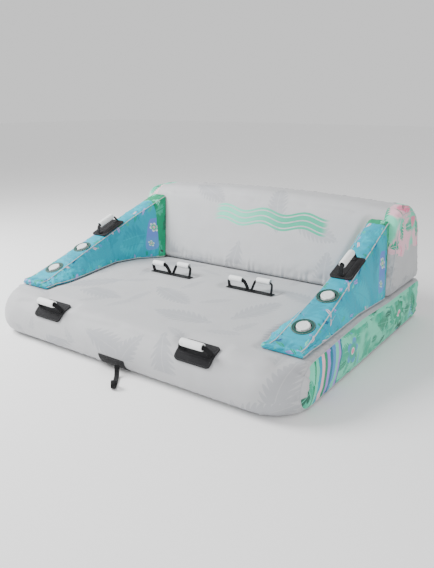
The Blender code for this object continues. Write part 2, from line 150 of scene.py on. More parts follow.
TOW_EYE = 0.019
TOW_UNDER = 0.0035
TOW_PATCH = 0.18
ZIP_WIDTH = 0.028
ZIPS = (("base", REAR_Y, 0.203, 0.62, 0.58), ("backrest", BACK_REAR_Y, 0.36, 0.70, 0.66))


# ---- Small helpers


def up(height):
    return Matrix.Translation((0, 0, height))


def frame_at(origin, normal, along):
    """A frame with +Z on the normal and +X as near to along as it can be."""
    z = Vector(normal).normalized()
    x = Vector(along)
    x = (x - z * x.dot(z)).normalized()
    return Matrix.Translation(origin) @ Matrix((x, z.cross(x), z)).transposed().to_4x4()


def smooth(t):
    t = np.clip(t, 0.0, 1.0)
    return t * t * (3 - 2 * t)


def link(name, data):
    """A new object of the scene, with this data."""
    obj = bpy.data.objects.new(name, data)
    bpy.context.scene.collection.objects.link(obj)
    return obj


def new_object(name, verts, faces, *materials):
    mesh = bpy.data.meshes.new(name)
    mesh.from_pydata([tuple(v) for v in verts], [], [tuple(f) for f in faces])
    mesh.validate()
    bm = bmesh.new()
    bm.from_mesh(mesh)
    bmesh.ops.recalc_face_normals(bm, faces=bm.faces)
    bm.to_mesh(mesh)
    bm.free()
    mesh.shade_smooth()
    for material in materials:
        mesh.materials.append(material)
    return link(name, mesh)


def points_of(obj, what="co"):
    values = np.empty(len(obj.data.vertices) * 3, np.float32)
    obj.data.vertices.foreach_get(what, values)
    return values.reshape(-1, 3).astype(float)


def set_points(obj, points):
    obj.data.vertices.foreach_set("co", np.ascontiguousarray(points, np.float32).ravel())
    obj.data.update()


def bake_modifiers(obj):
    graph = bpy.context.evaluated_depsgraph_get()
    done = bpy.data.meshes.new_from_object(obj.evaluated_get(graph), depsgraph=graph)
    obj.modifiers.clear()
    obj.data = done


def subdivide(obj, levels=1):
    fine = obj.modifiers.new("fine", "SUBSURF")
    fine.levels = fine.render_levels = levels
    bake_modifiers(obj)


def lengths_of(path):
    """How far along a run of points each of them lies."""
    return np.concatenate([[0], np.cumsum(np.linalg.norm(np.diff(path, axis=0), axis=1))])


def lay_fabric(obj, places):
    """Gives each vertex its place on the flat cloth, in metres, for the weaves."""
    layer = obj.data.uv_layers.new(name="fabric").data
    for loop in obj.data.loops:
        layer[loop.index].uv = places[loop.vertex_index]


def mesh_of(curve, name, material):
    """A curve's surface, as a mesh of one material."""
    shape = link(name + "_outline", curve)
    graph = bpy.context.evaluated_depsgraph_get()
    mesh = bpy.data.meshes.new_from_object(shape.evaluated_get(graph), depsgraph=graph)
    bpy.data.objects.remove(shape)
    mesh.name = name
    mesh.materials.clear()
    mesh.materials.append(material)
    return mesh


def wave_noise(t, seed, waves):
    """A smooth random line through t (metres), as a sum of sines of these wavelengths."""
    draw = random.Random(seed)
    total = np.zeros_like(t)
    for wavelength, height in waves:
        pitch = wavelength * draw.uniform(0.9, 1.1)
        total += height * np.sin(2 * math.pi * (t / pitch + draw.random()))
    return total


# ---- Material nodes


class Paint:
    """One material. Each call adds a node and gives back its output."""

    def __init__(self, name, roughness=0.6, metallic=0.0, sheen=0.0, specular=0.5):
        self.material = bpy.data.materials.new(name)
        self.material.use_nodes = True
        self.tree = self.material.node_tree
        self.shader = self.tree.nodes["Principled BSDF"]
        self.shader.inputs["Roughness"].default_value = roughness
        self.shader.inputs["Metallic"].default_value = metallic
        self.shader.inputs["Sheen Weight"].default_value = sheen
        self.shader.inputs["Specular IOR Level"].default_value = specular

    def plug(self, socket, value):
        if isinstance(value, bpy.types.NodeSocket):
            self.tree.links.new(value, socket)
        elif value is not None:
            wide = socket.type == "RGBA" and len(value) == 3
            socket.default_value = (*value, 1.0) if wide else value

    def math(self, operation, a, b=None):
        node = self.tree.nodes.new("ShaderNodeMath")
        node.operation = operation
        for socket, value in zip(node.inputs, (a, b)):
            self.plug(socket, value)
        return node.outputs[0]

    def times(self, a, b):
        return self.math("MULTIPLY", a, b)

    def plus(self, a, b):
        return self.math("ADD", a, b)

    def minus(self, a, b):
        return self.math("SUBTRACT", a, b)

    def absolute(self, a):
        return self.math("ABSOLUTE", a)

    def vector(self, operation, a, b=None):
        node = self.tree.nodes.new("ShaderNodeVectorMath")
        node.operation = operation
        if operation == "SCALE":
            self.plug(node.inputs[0], a)
            self.plug(node.inputs["Scale"], b)
        else:
            self.plug(node.inputs[0], a)
            self.plug(node.inputs[1], b)
        return node.outputs["Value" if operation in ("LENGTH", "DISTANCE") else "Vector"]

    def step(self, value, low, high):
        """0 below low, 1 above high, and smooth between."""
        node = self.tree.nodes.new("ShaderNodeMapRange")
        node.interpolation_type = "SMOOTHSTEP"
        for socket, number in zip(node.inputs, (value, low, high, 0.0, 1.0)):
            self.plug(socket, number)
        return node.outputs[0]

    def scale(self, value, low, high):
        node = self.tree.nodes.new("ShaderNodeMapRange")
        for socket, number in zip(node.inputs, (value, 0.0, 1.0, low, high)):
            self.plug(socket, number)
        return node.outputs[0]

    def mix(self, share, a, b):
        node = self.tree.nodes.new("ShaderNodeMix")
        node.data_type = "RGBA"
        self.plug(node.inputs["Factor"], share)
        self.plug(node.inputs[6], a)
        self.plug(node.inputs[7], b)
        return node.outputs[2]

    def ramp(self, value, colours):
        """Flat bands of colour, as wide as each other."""
        node = self.tree.nodes.new("ShaderNodeValToRGB")
        node.color_ramp.interpolation = "CONSTANT"
        stops = node.color_ramp.elements
        while len(stops) < len(colours):
            stops.new(1.0)
        for i, colour in enumerate(colours):
            stops[i].position = i / len(colours)
            stops[i].color = (*colour, 1.0)
        self.plug(node.inputs[0], value)
        return node.outputs[0]

    def noise(self, where, scale, detail=2.0):
        node = self.tree.nodes.new("ShaderNodeTexNoise")
        self.plug(node.inputs["Vector"], where)
        self.plug(node.inputs["Scale"], scale)
        self.plug(node.inputs["Detail"], detail)
        return node.outputs["Fac"]

    def cells(self, where, size):
        """(place, random colour) of the nearest scattered cell, in the plane."""
        node = self.tree.nodes.new("ShaderNodeTexVoronoi")
        node.voronoi_dimensions = "2D"
        self.plug(node.inputs["Vector"], where)
        self.plug(node.inputs["Scale"], 1.0 / size)
        return node.outputs["Position"], self.split(node.outputs["Color"])

    def split(self, value):
        node = self.tree.nodes.new("ShaderNodeSeparateXYZ")
        self.plug(node.inputs[0], value)
        return node.outputs

    def join(self, x, y, z=0.0):
        node = self.tree.nodes.new("ShaderNodeCombineXYZ")
        for socket, value in zip(node.inputs, (x, y, z)):
            self.plug(socket, value)
        return node.outputs[0]

    def turn(self, value, angle):
        node = self.tree.nodes.new("ShaderNodeVectorRotate")
        node.rotation_type = "Z_AXIS"
        self.plug(node.inputs["Vector"], value)
        self.plug(node.inputs["Angle"], angle)
        return node.outputs[0]

    def place(self):
        return self.tree.nodes.new("ShaderNodeTexCoord").outputs["Object"]

    def fabric(self):
        node = self.tree.nodes.new("ShaderNodeUVMap")
        node.uv_map = "fabric"
        return node.outputs[0]

    def attribute(self, name):
        node = self.tree.nodes.new("ShaderNodeAttribute")
        node.attribute_name = name
        return node.outputs["Fac"]

    def bump(self, height, distance, before=None):
        node = self.tree.nodes.new("ShaderNodeBump")
        self.plug(node.inputs["Height"], height)
        self.plug(node.inputs["Distance"], distance)
        self.plug(node.inputs["Normal"], before)
        return node.outputs[0]

    def finish(self, colour, roughness=None, normal=None):
        self.plug(self.shader.inputs["Base Color"], colour)
        self.plug(self.shader.inputs["Roughness"], roughness)
        self.plug(self.shader.inputs["Normal"], normal)
        return self.material


def linear(*bytes_):
    """A colour in 0-255 display values, as the linear numbers a shader takes."""
    return tuple((v / 255) ** 2.2 for v in bytes_)


WHITE = linear(240, 242, 242)
GREY = linear(186, 187, 189)
GREY_PRINT = linear(170, 172, 176)
TEAL = (0.0, 0.37, 0.50)
TEAL_DEEP = (0.0, 0.20, 0.29)
TEAL_LIGHT = (0.0, 0.55, 0.66)
MINT = (0.03, 0.44, 0.27)
MINT_LIGHT = (0.17, 0.72, 0.50)
GREEN = (0.0, 0.30, 0.14)
GREEN_DEEP = (0.02, 0.13, 0.085)
SAGE = (0.03, 0.30, 0.18)
PINK = (0.88, 0.20, 0.36)
PINK_PALE = (0.86, 0.52, 0.60)
LILAC = (0.42, 0.27, 0.74)
NAVY = (0.01, 0.02, 0.16)
BLUE = (0.10, 0.30, 0.66)
PERIWINKLE = (0.12, 0.24, 0.66)
BLACK = (0.004, 0.004, 0.005)
BLACK_TAPE = (0.008, 0.008, 0.009)

CLOTH = {"sheen": 0.04, "specular": 0.3}
STRAP = {"sheen": 0.05, "specular": 0.3}
WEAVE_PITCH = 0.0016
RIB_PITCH = 0.0021
TWILL_PITCH = 0.0014
KNIT_PITCH = 0.0011
# A leaf print is (cell size, half length, half width, tooth rate)
BIG_LEAF = (0.42, 0.19, 0.075, 95.0)
SMALL_LEAF = (0.30, 0.11, 0.03, 130.0)
END_LEAF = (0.24, 0.12, 0.05, 95.0)
TEAL_LEAF = (0.26, 0.12, 0.055, 120.0)
DEEP_LEAF = (0.31, 0.13, 0.05, 90.0)
PETAL = (0.050, 0.037, 0.020, 0.0)
REAR_LEAF = (0.09, 0.045, 0.018, 120.0)
BAND_COLOURS = (TEAL_DEEP, LILAC, MINT_LIGHT, BLUE, TEAL_DEEP, LILAC, GREEN, PINK_PALE, TEAL, MINT_LIGHT, GREEN)


def weave(p, where, pitch):
    """The height of a plain weave whose threads are pitch apart."""
    u, v, _ = p.split(p.vector("SCALE", where, 2 * math.pi / pitch))
    return p.times(p.math("SINE", u), p.math("SINE", v))


def leaves(p, where, size, length, width, teeth):
    """(mask, cell's random numbers): one toothed leaf to each scattered cell."""
    centre, chance = p.cells(where, size)
    local = p.turn(p.vector("SUBTRACT", where, centre), p.times(chance[0], 6.28))
    x, y, _ = p.split(local)
    taper = p.minus(1.0, p.math("POWER", p.absolute(p.math("DIVIDE", x, length)), 2.0))
    across = p.absolute(y)
    slant = p.plus(x, p.times(across, 0.9))
    notch = p.absolute(p.math("SINE", p.times(slant, teeth)))
    edge = p.times(p.times(taper, width), p.scale(notch, 0.45, 1.0))
    inside = p.step(p.minus(edge, across), 0.0, 0.003)
    rib = p.step(across, 0.0008, 0.0022)
    return p.times(inside, rib), chance


def cloth_finish(p, colour):
    """Coated nylon over a bladder: a fine weave, soft creases, handling marks."""
    where = p.place()
    marks = p.noise(where, 9.0, 5.0)
    colour = p.vector("SCALE", colour, p.scale(marks, 1.06, 0.90))
    soft = p.bump(p.noise(where, 22.0, 3.0), 0.0012)
    normal = p.bump(weave(p, p.fabric(), WEAVE_PITCH), 0.00012, soft)
    return p.finish(colour, p.scale(p.noise(where, 60.0, 3.0), 0.46, 0.66), normal)


def grey_cloth():
    """The deck's grey, with a large leaf print one tone darker."""
    p = Paint("deck_cloth", **CLOTH)
    where = p.fabric()
    mask, _ = leaves(p, where, *BIG_LEAF)
    small, _ = leaves(p, p.vector("ADD", where, (3.1, 1.7, 0.0)), *SMALL_LEAF)
    share = p.math("MAXIMUM", mask, p.times(small, 0.7))
    return cloth_finish(p, p.mix(share, GREY, GREY_PRINT))


def scatter(p, where, colour, layers):
    """Lays leaf layers (size, length, width, teeth, colours) over a colour."""
    for i, (size, length, width, teeth, colours) in enumerate(layers):
        shifted = p.vector("ADD", where, (1.7 * i + 0.3, 2.3 * i + 0.9, 0.0))
        mask, chance = leaves(p, shifted, size, length, width, teeth)
        colour = p.mix(mask, colour, p.ramp(chance[1], colours))
    return colour


def flower(p, y, z, centre, radius, petals, colour, ground):
    """A round flower: petals, a pale ring and a pink eye."""
    dy = p.minus(y, centre[0])
    dz = p.minus(z, centre[1])
    far = p.vector("LENGTH", p.join(dy, dz))
    turn = p.math("ARCTAN2", dz, dy)
    lobes = p.absolute(p.math("COSINE", p.times(turn, petals / 2)))
    edge = p.times(p.scale(lobes, 0.62, 1.0), radius)
    inside = p.step(p.minus(edge, far), 0.0, 0.003)
    shade = p.mix(p.step(far, 0.35 * radius, 0.95 * radius), MINT, colour)
    made = p.mix(inside, ground, shade)
    made = p.mix(p.step(far, 0.30 * radius, 0.24 * radius), made, WHITE)
    return p.mix(p.step(far, 0.22 * radius, 0.17 * radius), made, PINK)


def side_cloth():
    """The base's side panels: bands near the front, then leaves and two flowers."""
    p = Paint("side_print", **CLOTH)
    _, y, z = p.split(p.place())
    where = p.fabric()
    drift = p.noise(where, 7.0, 2.0)
    colour = p.mix(p.step(drift, 0.36, 0.54), MINT, MINT_LIGHT)
    layers = (
        (0.20, 0.10, 0.045, 150.0, (SAGE, MINT, GREEN_DEEP, MINT)),
        (0.16, 0.075, 0.020, 0.0, (MINT_LIGHT, BLUE, MINT_LIGHT, SAGE)),
        (0.13, 0.055, 0.022, 210.0, (SAGE, MINT_LIGHT, GREEN_DEEP, MINT)),
    )
    colour = scatter(p, where, colour, layers)
    colour = flower(p, y, z, (0.45, 0.135), 0.080, 8, GREEN, colour)
    colour = flower(p, y, z, (-0.215, 0.135), 0.070, 5, BLUE, colour)
    slant = p.plus(y, p.times(z, -0.20))
    wobble = p.plus(slant, p.times(p.noise(where, 14.0, 1.0), 0.012))
    band = p.math("FRACT", p.math("DIVIDE", p.minus(-0.355, wobble), 0.31))
    bands = p.ramp(band, BAND_COLOURS)
    striped = p.times(p.step(wobble, -0.370, -0.373), p.step(wobble, -0.650, -0.647))
    colour = p.mix(striped, colour, bands)
    plain = p.times(p.step(wobble, -0.695, -0.698), p.step(z, 0.082, 0.090))
    colour = p.mix(plain, colour, GREY)
    return cloth_finish(p, colour)


def teal_cloth():
    """The armrests: teal with tonal leaves, petals along the seams, a blue patch with white
    flowers, and a green print at the rear."""
    p = Paint("arm_print", **CLOTH)
    where = p.fabric()
    mask, _ = leaves(p, where, *TEAL_LEAF)
    colour = p.mix(p.times(mask, 0.45), TEAL, TEAL_LIGHT)
    mask, _ = leaves(p, p.vector("ADD", where, (2.0, 5.0, 0.0)), *DEEP_LEAF)
    colour = p.mix(p.times(mask, 0.35), colour, TEAL_DEEP)
    rim = p.attribute("seam")
    ragged = p.plus(rim, p.times(p.noise(where, 9.0, 2.0), 0.14))
    near = p.step(ragged, 0.100, 0.088)
    mask, chance = leaves(p, where, *PETAL)
    petals = p.ramp(chance[1], (MINT_LIGHT, LILAC, GREEN, NAVY, MINT, PINK_PALE, BLUE, GREEN))
    colour = p.mix(p.times(near, mask), colour, petals)

    x, y, z = p.split(p.place())
    ragged = p.times(p.minus(p.noise(where, 24.0, 2.0), 0.5), 0.05)
    height = p.minus(z, BACK_Z)
    from_rear = p.minus(y, p.times(height, BACK_LEAN))
    dy = p.math("DIVIDE", p.minus(from_rear, 0.210), 0.050)
    dz = p.math("DIVIDE", p.minus(z, 0.412), 0.105)
    squared = p.join(p.math("POWER", dy, 2.0), p.math("POWER", dz, 2.0))
    round_ = p.plus(p.vector("LENGTH", squared), p.times(ragged, 7.0))
    patch = p.mix(p.step(z, 0.37, 0.41), BLUE, PERIWINKLE)
    colour = p.mix(p.step(round_, 1.0, 0.97), colour, patch)
    colour = flower(p, y, z, (0.307, 0.455), 0.034, 6, WHITE, colour)
    colour = flower(p, y, z, (0.250, 0.352), 0.022, 5, WHITE, colour)
    slant = p.minus(y, p.times(height, 0.30))
    slant = p.plus(slant, p.times(ragged, 0.5))
    slant = p.minus(slant, p.scale(p.step(x, -0.1, 0.1), 0.0, 0.055))
    mask, chance = leaves(p, where, *REAR_LEAF)
    leafy = p.mix(mask, GREEN, p.ramp(chance[1], (MINT, GREEN_DEEP, MINT_LIGHT, GREEN_DEEP)))
    return cloth_finish(p, p.mix(p.step(slant, 0.268, 0.271), colour, leafy))


def end_cloth():
    """The backrest's ends: pink and green leaves high up, and plain grey below."""
    p = Paint("end_print", **CLOTH)
    where = p.fabric()
    _, _, z = p.split(p.place())
    colour = p.mix(p.step(p.noise(where, 5.0, 1.0), 0.50, 0.56), PINK_PALE, MINT_LIGHT)
    layers = (
        (0.17, 0.085, 0.040, 150.0, (PINK, GREEN, PINK, MINT)),
        (0.12, 0.055, 0.018, 0.0, (GREEN, GREEN_DEEP, PINK, MINT_LIGHT)),
    )
    colour = scatter(p, where, colour, layers)
    mask, _ = leaves(p, where, *END_LEAF)
    plain = p.mix(mask, GREY, GREY_PRINT)
    ragged = p.times(p.minus(p.noise(where, 11.0, 2.0), 0.5), 0.16)
    height = p.plus(z, ragged)
    return cloth_finish(p, p.mix(p.step(height, 0.478, 0.482), plain, colour))


def back_cloth():
    """The backrest: grey with a tonal leaf, and mint waves high on its front, painted lighter at the left end
    where the light falls.
    """
    p = Paint("backrest_cloth", **CLOTH)
    x, y, z = p.split(p.place())
    where = p.fabric()
    mask, _ = leaves(p, where, *BIG_LEAF)
    colour = p.mix(mask, GREY, GREY_PRINT)
    swell = p.times(p.math("SINE", p.times(x, 21.0)), 0.014)
    level = p.minus(p.minus(z, 0.588), swell)
    comb = p.absolute(p.minus(p.math("FRACT", p.math("DIVIDE", level, 0.033)), 0.5))
    line = p.step(comb, 0.40, 0.36)
    thick = p.times(p.step(level, -0.050, -0.048), p.step(level, 0.050, 0.048))
    span = p.step(p.absolute(p.minus(x, 0.12)), 0.43, 0.37)
    front = p.step(y, 0.60, 0.58)
    print_ = p.times(p.times(line, thick), p.times(span, front))
    # The waves' mint goes from light at the left end to darker at the right: painted light, as the light falls
    # from the left.
    colour = p.mix(print_, colour, p.mix(p.step(x, -0.2, 0.3), MINT_LIGHT, MINT))
    return cloth_finish(p, colour)


def coating():
    """Heavy black coated cloth."""
    p = Paint("coated_black", sheen=0.05)
    where = p.place()
    colour = p.mix(p.noise(where, 8.0, 4.0), linear(30, 31, 33), linear(52, 53, 56))
    grit = p.bump(p.noise(where, 900.0, 2.0), 0.0003)
    return p.finish(colour, p.scale(p.noise(where, 40.0, 2.0), 0.5, 0.75), grit)


def bladder_film():
    """Welded PVC film."""
    p = Paint("bladder_film")
    where = p.place()
    colour = p.mix(p.noise(where, 6.0, 4.0), linear(40, 42, 46), linear(62, 64, 70))
    creases = p.bump(p.noise(where, 45.0, 3.0), 0.001)
    return p.finish(colour, p.scale(p.noise(where, 30.0, 2.0), 0.30, 0.48), creases)


def webbing(name, tone):
    """Woven strap: ribs across it and a herringbone down it, with painted highlight on the threads' crests and
    painted shade in their hollows.
    """
    p = Paint(name, **STRAP)
    u, v, _ = p.split(p.fabric())
    rib = p.math("SINE", p.times(u, 2 * math.pi / RIB_PITCH))
    zig = p.math("PINGPONG", p.times(v, 1.0), 0.003)
    twill = p.math("SINE", p.times(p.plus(u, zig), 2 * math.pi / TWILL_PITCH))
    height = p.plus(p.times(rib, 0.6), p.times(twill, 0.4))
    fuzz = p.noise(p.place(), 700.0, 3.0)
    # The weave's raised threads are painted toward a lighter tone and its hollows toward the dark base: painted
    # highlight and painted shade, broken up by the fuzz noise.
    crest_highlight = tuple(2.2 * c + 0.004 for c in tone)
    colour = p.mix(p.scale(p.times(height, fuzz), 0.15, 0.75), tone, crest_highlight)
    return p.finish(colour, p.scale(fuzz, 0.70, 0.92), p.bump(height, 0.00035))


def pad_foam():
    """Black neoprene over foam: a fine knit with a soft nap."""
    p = Paint("knuckle_foam", **STRAP)
    where = p.place()
    knit = weave(p, p.fabric(), KNIT_PITCH)
    colour = p.mix(p.noise(where, 260.0, 3.0), (0.003, 0.003, 0.004), (0.012, 0.012, 0.014))
    soft = p.bump(p.noise(where, 70.0, 2.0), 0.0008)
    return p.finish(colour, p.scale(p.noise(where, 120.0, 2.0), 0.72, 0.92), p.bump(knit, 0.0002, soft))


def grip_foam():
    """White EVA foam: tiny cells, faint flow marks and scuffs."""
    p = Paint("grip_foam", sheen=0.1)
    where = p.place()
    cells = p.noise(where, 1500.0, 2.0)
    scuff = p.step(p.noise(where, 55.0, 5.0), 0.56, 0.72)
    colour = p.mix(p.times(scuff, 0.35), WHITE, linear(196, 198, 198))
    return p.finish(colour, p.scale(cells, 0.60, 0.82), p.bump(cells, 0.0005))


def moulded(name, tone, low=0.32, high=0.5):
    """Injection-moulded plastic with a fine spark texture and handling marks."""
    p = Paint(name, specular=0.45)
    where = p.place()
    colour = p.mix(p.scale(p.noise(where, 45.0, 4.0), 0.0, 0.5), tone, tuple(0.8 * c for c in tone))
    texture = p.bump(p.noise(where, 2400.0, 2.0), 0.00012)
    return p.finish(colour, p.scale(p.noise(where, 120.0, 3.0), low, high), texture)


def zip_metal():
    """Worn nickel plate."""
    p = Paint("zip_metal", metallic=1.0)
    where = p.place()
    colour = p.mix(p.noise(where, 300.0, 4.0), linear(120, 122, 126), linear(176, 178, 182))
    brushed = p.bump(p.noise(where, 1800.0, 2.0), 0.0001)
    return p.finish(colour, p.scale(p.noise(where, 900.0, 3.0), 0.28, 0.5), brushed)


def thread(name, tone):
    """Twisted bonded thread."""
    p = Paint(name, sheen=0.2)
    where = p.place()
    twist = p.noise(where, 2600.0, 2.0)
    colour = p.mix(twist, tone, tuple(0.6 * c for c in tone))
    return p.finish(colour, p.scale(twist, 0.5, 0.75), p.bump(twist, 0.0003))


MATERIALS = {
    "deck": grey_cloth(),
    "back": back_cloth(),
    "side": side_cloth(),
    "end": end_cloth(),
    "arm": teal_cloth(),
    "coating": coating(),
    "bladder": bladder_film(),
    "webbing": webbing("webbing", BLACK),
    "binding": webbing("binding", BLACK_TAPE),
    "pad": pad_foam(),
    "grip": grip_foam(),
    "white": moulded("valve_white", linear(226, 230, 230)),
    "ring": moulded("valve_green", linear(16, 74, 66), 0.4, 0.6),
    "black": moulded("vent_black", linear(34, 35, 37), 0.4, 0.6),
    "metal": zip_metal(),
    "piping": thread("piping", linear(196, 199, 203)),
    "stitch": thread("stitch_pale", linear(205, 207, 210)),
    "stitch_dark": thread("stitch_dark", linear(60, 62, 66)),
}


def keep(obj, body, slot=None, *nodes):
    """The piece rides on this body and stands for the nodes. The slot is not used."""
    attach(obj, body)
    if nodes:
        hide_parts(*nodes)
    return obj


# ---- Chamber skins: rings of points, blown out, puckered along their seams


def outline(corners, runs):
    """Points round a polygon of (a, b, radius, steps) corners. Each corner is an arc, and
    runs[i] points divide the straight stretch that follows corner i."""
    arcs = []
    for i, (a, b, radius, steps) in enumerate(corners):
        here = Vector((a, b))
        u = (Vector(corners[i - 1][:2]) - here).normalized()
        v = (Vector(corners[(i + 1) % len(corners)][:2]) - here).normalized()
        half = u.angle(v) / 2
        centre = here + (u + v).normalized() * (radius / math.sin(half))
        start = here + u * (radius / math.tan(half)) - centre
        sweep = start.angle_signed(here + v * (radius / math.tan(half)) - centre)
        arcs.append([centre + Matrix.Rotation(-sweep * k / steps, 2) @ start for k in range(steps + 1)])
    points = []
    starts = []
    for i, arc in enumerate(arcs):
        starts.append(len(points))
        points += arc
        following = arcs[(i + 1) % len(arcs)][0]
        points += [arc[-1].lerp(following, k / (runs[i] + 1)) for k in range(1, runs[i] + 1)]
    return points, starts


def arc_inset(distance, radius):
    return 0.0 if distance <= 0 else radius - math.sqrt(max(radius**2 - distance**2, 0.0))


def base_ring(x):
    into = abs(x) - HALF_WIDTH
    edge = arc_inset(into + BASE_EDGE, BASE_EDGE)
    front = FRONT_Y + arc_inset(into + FRONT_PLAN_RADIUS, FRONT_PLAN_RADIUS)
    rear = REAR_Y - arc_inset(into + REAR_PLAN_RADIUS, REAR_PLAN_RADIUS)
    points, starts = outline(
        [
            (front, BASE_Z + edge, KEEL_RADIUS, 8),
            (rear, BASE_Z + edge, 0.04, 4),
            (rear, SHELF_Z - edge, 0.02, 3),
            (CREASE_Y, SHELF_Z - edge, 0.2, 2),
            (DECK_PEAK_Y, DECK_PEAK_Z - edge, 1.5, 6),
            (front, LIP_TOP - edge, LIP_RADIUS - edge, 14),
        ],
        (40, 9, 26, 18, 40, 2),
    )
    return [(x, y, z) for y, z in points], starts


def back_ring(x):
    edge = arc_inset(abs(x) - BACK_HALF + BACK_EDGE, BACK_EDGE)
    top = BACK_TOP + BACK_CROWN * (1 - (x / BACK_HALF) ** 2) - edge
    foot = BACK_FOOT_Y + edge
    points, starts = outline(
        [
            (foot, BACK_Z + edge, 0.03, 4),
            (BACK_REAR_Y - edge, BACK_Z + edge, 0.03, 4),
            (BACK_REAR_Y - edge, top, 0.13, 14),
            (foot + BACK_LEAN * (top - BACK_Z - edge), top, 0.09, 10),
        ],
        (24, 22, 8, 30),
    )
    height = BACK_TOP - BACK_Z
    return [(x * (1 - BACK_TAPER * (z - BACK_Z) / height), y, z) for y, z in points], starts


def deck_z(y):
    if y < DECK_PEAK_Y:
        return LIP_TOP + (y - FRONT_Y) * DECK_RISE
    fall = (DECK_PEAK_Z - SHELF_Z) / (CREASE_Y - DECK_PEAK_Y)
    return max(SHELF_Z, DECK_PEAK_Z - (y - DECK_PEAK_Y) * fall)


def arm_ring(y, side):
    table = np.array(ARM_SECTIONS)
    foot, head, shoulder = (float(np.interp(y, table[:, 0], table[:, k])) for k in (1, 2, 3))
    low = deck_z(y) + ARM_ON_DECK
    lean = BACK_LEAN * max(0.0, (y - ARM_LEAN_FROM) / (ARM_REAR_Y - ARM_LEAN_FROM))
    level = ARM_TOP_Z + ARM_SLOPE * (y - ARM_TOP_Y - lean * low)
    top = max(level / (1 - ARM_SLOPE * lean), low + ARM_LEAST)
    small = min(0.012, 0.3 * (top - low))
    big = min(0.03, 0.5 * (top - low))
    points, starts = outline(
        [
            (foot, low, small, 3),
            (ARM_OUTER, low, small, 3),
            (shoulder, top, big, 6),
            (head, top, big, 6),
        ],
        (14, 20, 8, 22),
    )
    return [(side * x, y + lean * (z - low), z) for x, z in points], starts


def spread(low, high, pitch):
    return list(np.linspace(low, high, max(2, round((high - low) / pitch) + 1)))


def end_positions(half, edge, pitch, turns=6):
    """Places along X: even across the middle, then closing in round each end's edge."""
    middle = spread(edge - half, half - edge, pitch)
    turn = [half - edge + edge * math.sin(math.pi / 2 * k / turns) for k in range(1, turns + 1)]
    return [-t for t in reversed(turn)] + middle + turn


def cap_rings(ring, core, steps, puff):
    """Rings that shrink from an end's ring towards the line core (two points)."""
    ring = np.array(ring)
    a, b = np.array(core[0]), np.array(core[1])
    t = np.clip((ring - a) @ (b - a) / ((b - a) @ (b - a)), 0, 1)
    target = a + t[:, None] * (b - a)
    made = []
    for k in range(1, steps + 1):
        share = 0.94 * k / steps
        made.append(ring + (target - ring) * share + np.array(puff) * (1 - (1 - share) ** 2))
    return made


def tube_faces(rings, count):
    """The quads of a tube of closed rings, each of count points."""
    faces = []
    for r in range(rings - 1):
        for i in range(count):
            j = (i + 1) % count
            faces.append((r * count + i, r * count + j, (r + 1) * count + j, (r + 1) * count + i))
    return faces


def tube_ends(rings, count):
    """The two faces that close it."""
    last = (rings - 1) * count
    return [tuple(range(count)), tuple(range(last, last + count))]


def skin(name, rings, caps, materials, slot_of, cap_slot):
    """A closed skin: rings of equal length with a run of cap rings at each end."""
    first, last = caps
    stack = [np.array(r) for r in list(reversed(first)) + list(rings) + list(last)]
    count = len(stack[0])
    starts = range(len(stack) - 1)
    faces = tube_faces(len(stack), count) + tube_ends(len(stack), count)
    mesh = bpy.data.meshes.new(name)
    mesh.from_pydata(np.concatenate(stack).tolist(), [], faces)
    obj = link(name, mesh)
    for material in materials:
        mesh.materials.append(MATERIALS[material])
    low, high = len(first), len(first) + len(rings) - 1
    slots = [slot_of(r - low, i) if low <= r < high else cap_slot for r in starts for i in range(count)]
    mesh.polygons.foreach_set("material_index", slots + [cap_slot, cap_slot])
    around = lengths_of(np.array(rings[len(rings) // 2]))
    layer = mesh.uv_layers.new(name="fabric").data
    flat = points_of(obj)
    step = np.linalg.norm(np.diff(np.array(rings), axis=0), axis=2).mean(axis=1)
    along = np.concatenate([[0], np.cumsum(step)])
    for polygon in mesh.polygons:
        r, i = divmod(polygon.index, count)
        for corner, loop in enumerate(polygon.loop_indices):
            vertex = polygon.vertices[corner]
            if low <= r < high:
                s = vertex // count - low
                j = vertex % count
                v = around[-1] + around[1] if j == 0 and i == count - 1 else around[j]
                layer[loop].uv = (along[s], v)
            elif name.startswith("arm"):
                layer[loop].uv = (flat[vertex, 0], flat[vertex, 2])
            else:
                layer[loop].uv = (flat[vertex, 1], flat[vertex, 2])
    bm = bmesh.new()
    bm.from_mesh(mesh)
    bmesh.ops.triangulate(bm, faces=[f for f in bm.faces if len(f.verts) > 4])
    bmesh.ops.recalc_face_normals(bm, faces=bm.faces)
    bm.to_mesh(mesh)
    bm.free()
    mesh.shade_smooth()
    obj["count"] = count
    obj["first"] = low
    return obj


def at(obj, r, i):
    """The vertex on ring r at place i round it."""
    return (r + obj["first"]) * obj["count"] + i % obj["count"]


def seam_round(obj, r):
    """A closed seam, round ring r."""
    return [at(obj, r, i) for i in range(obj["count"] + 1)]


def seam_along(obj, i, low, high):
    """A seam at place i, from ring low to the one before high."""
    return [at(obj, r, i) for r in range(low, high)]


AIR_PRESSURE = 4.0
AIR_FRAMES = 20
INWARD_MOST = 0.0015
SLIDE_MOST = 0.004


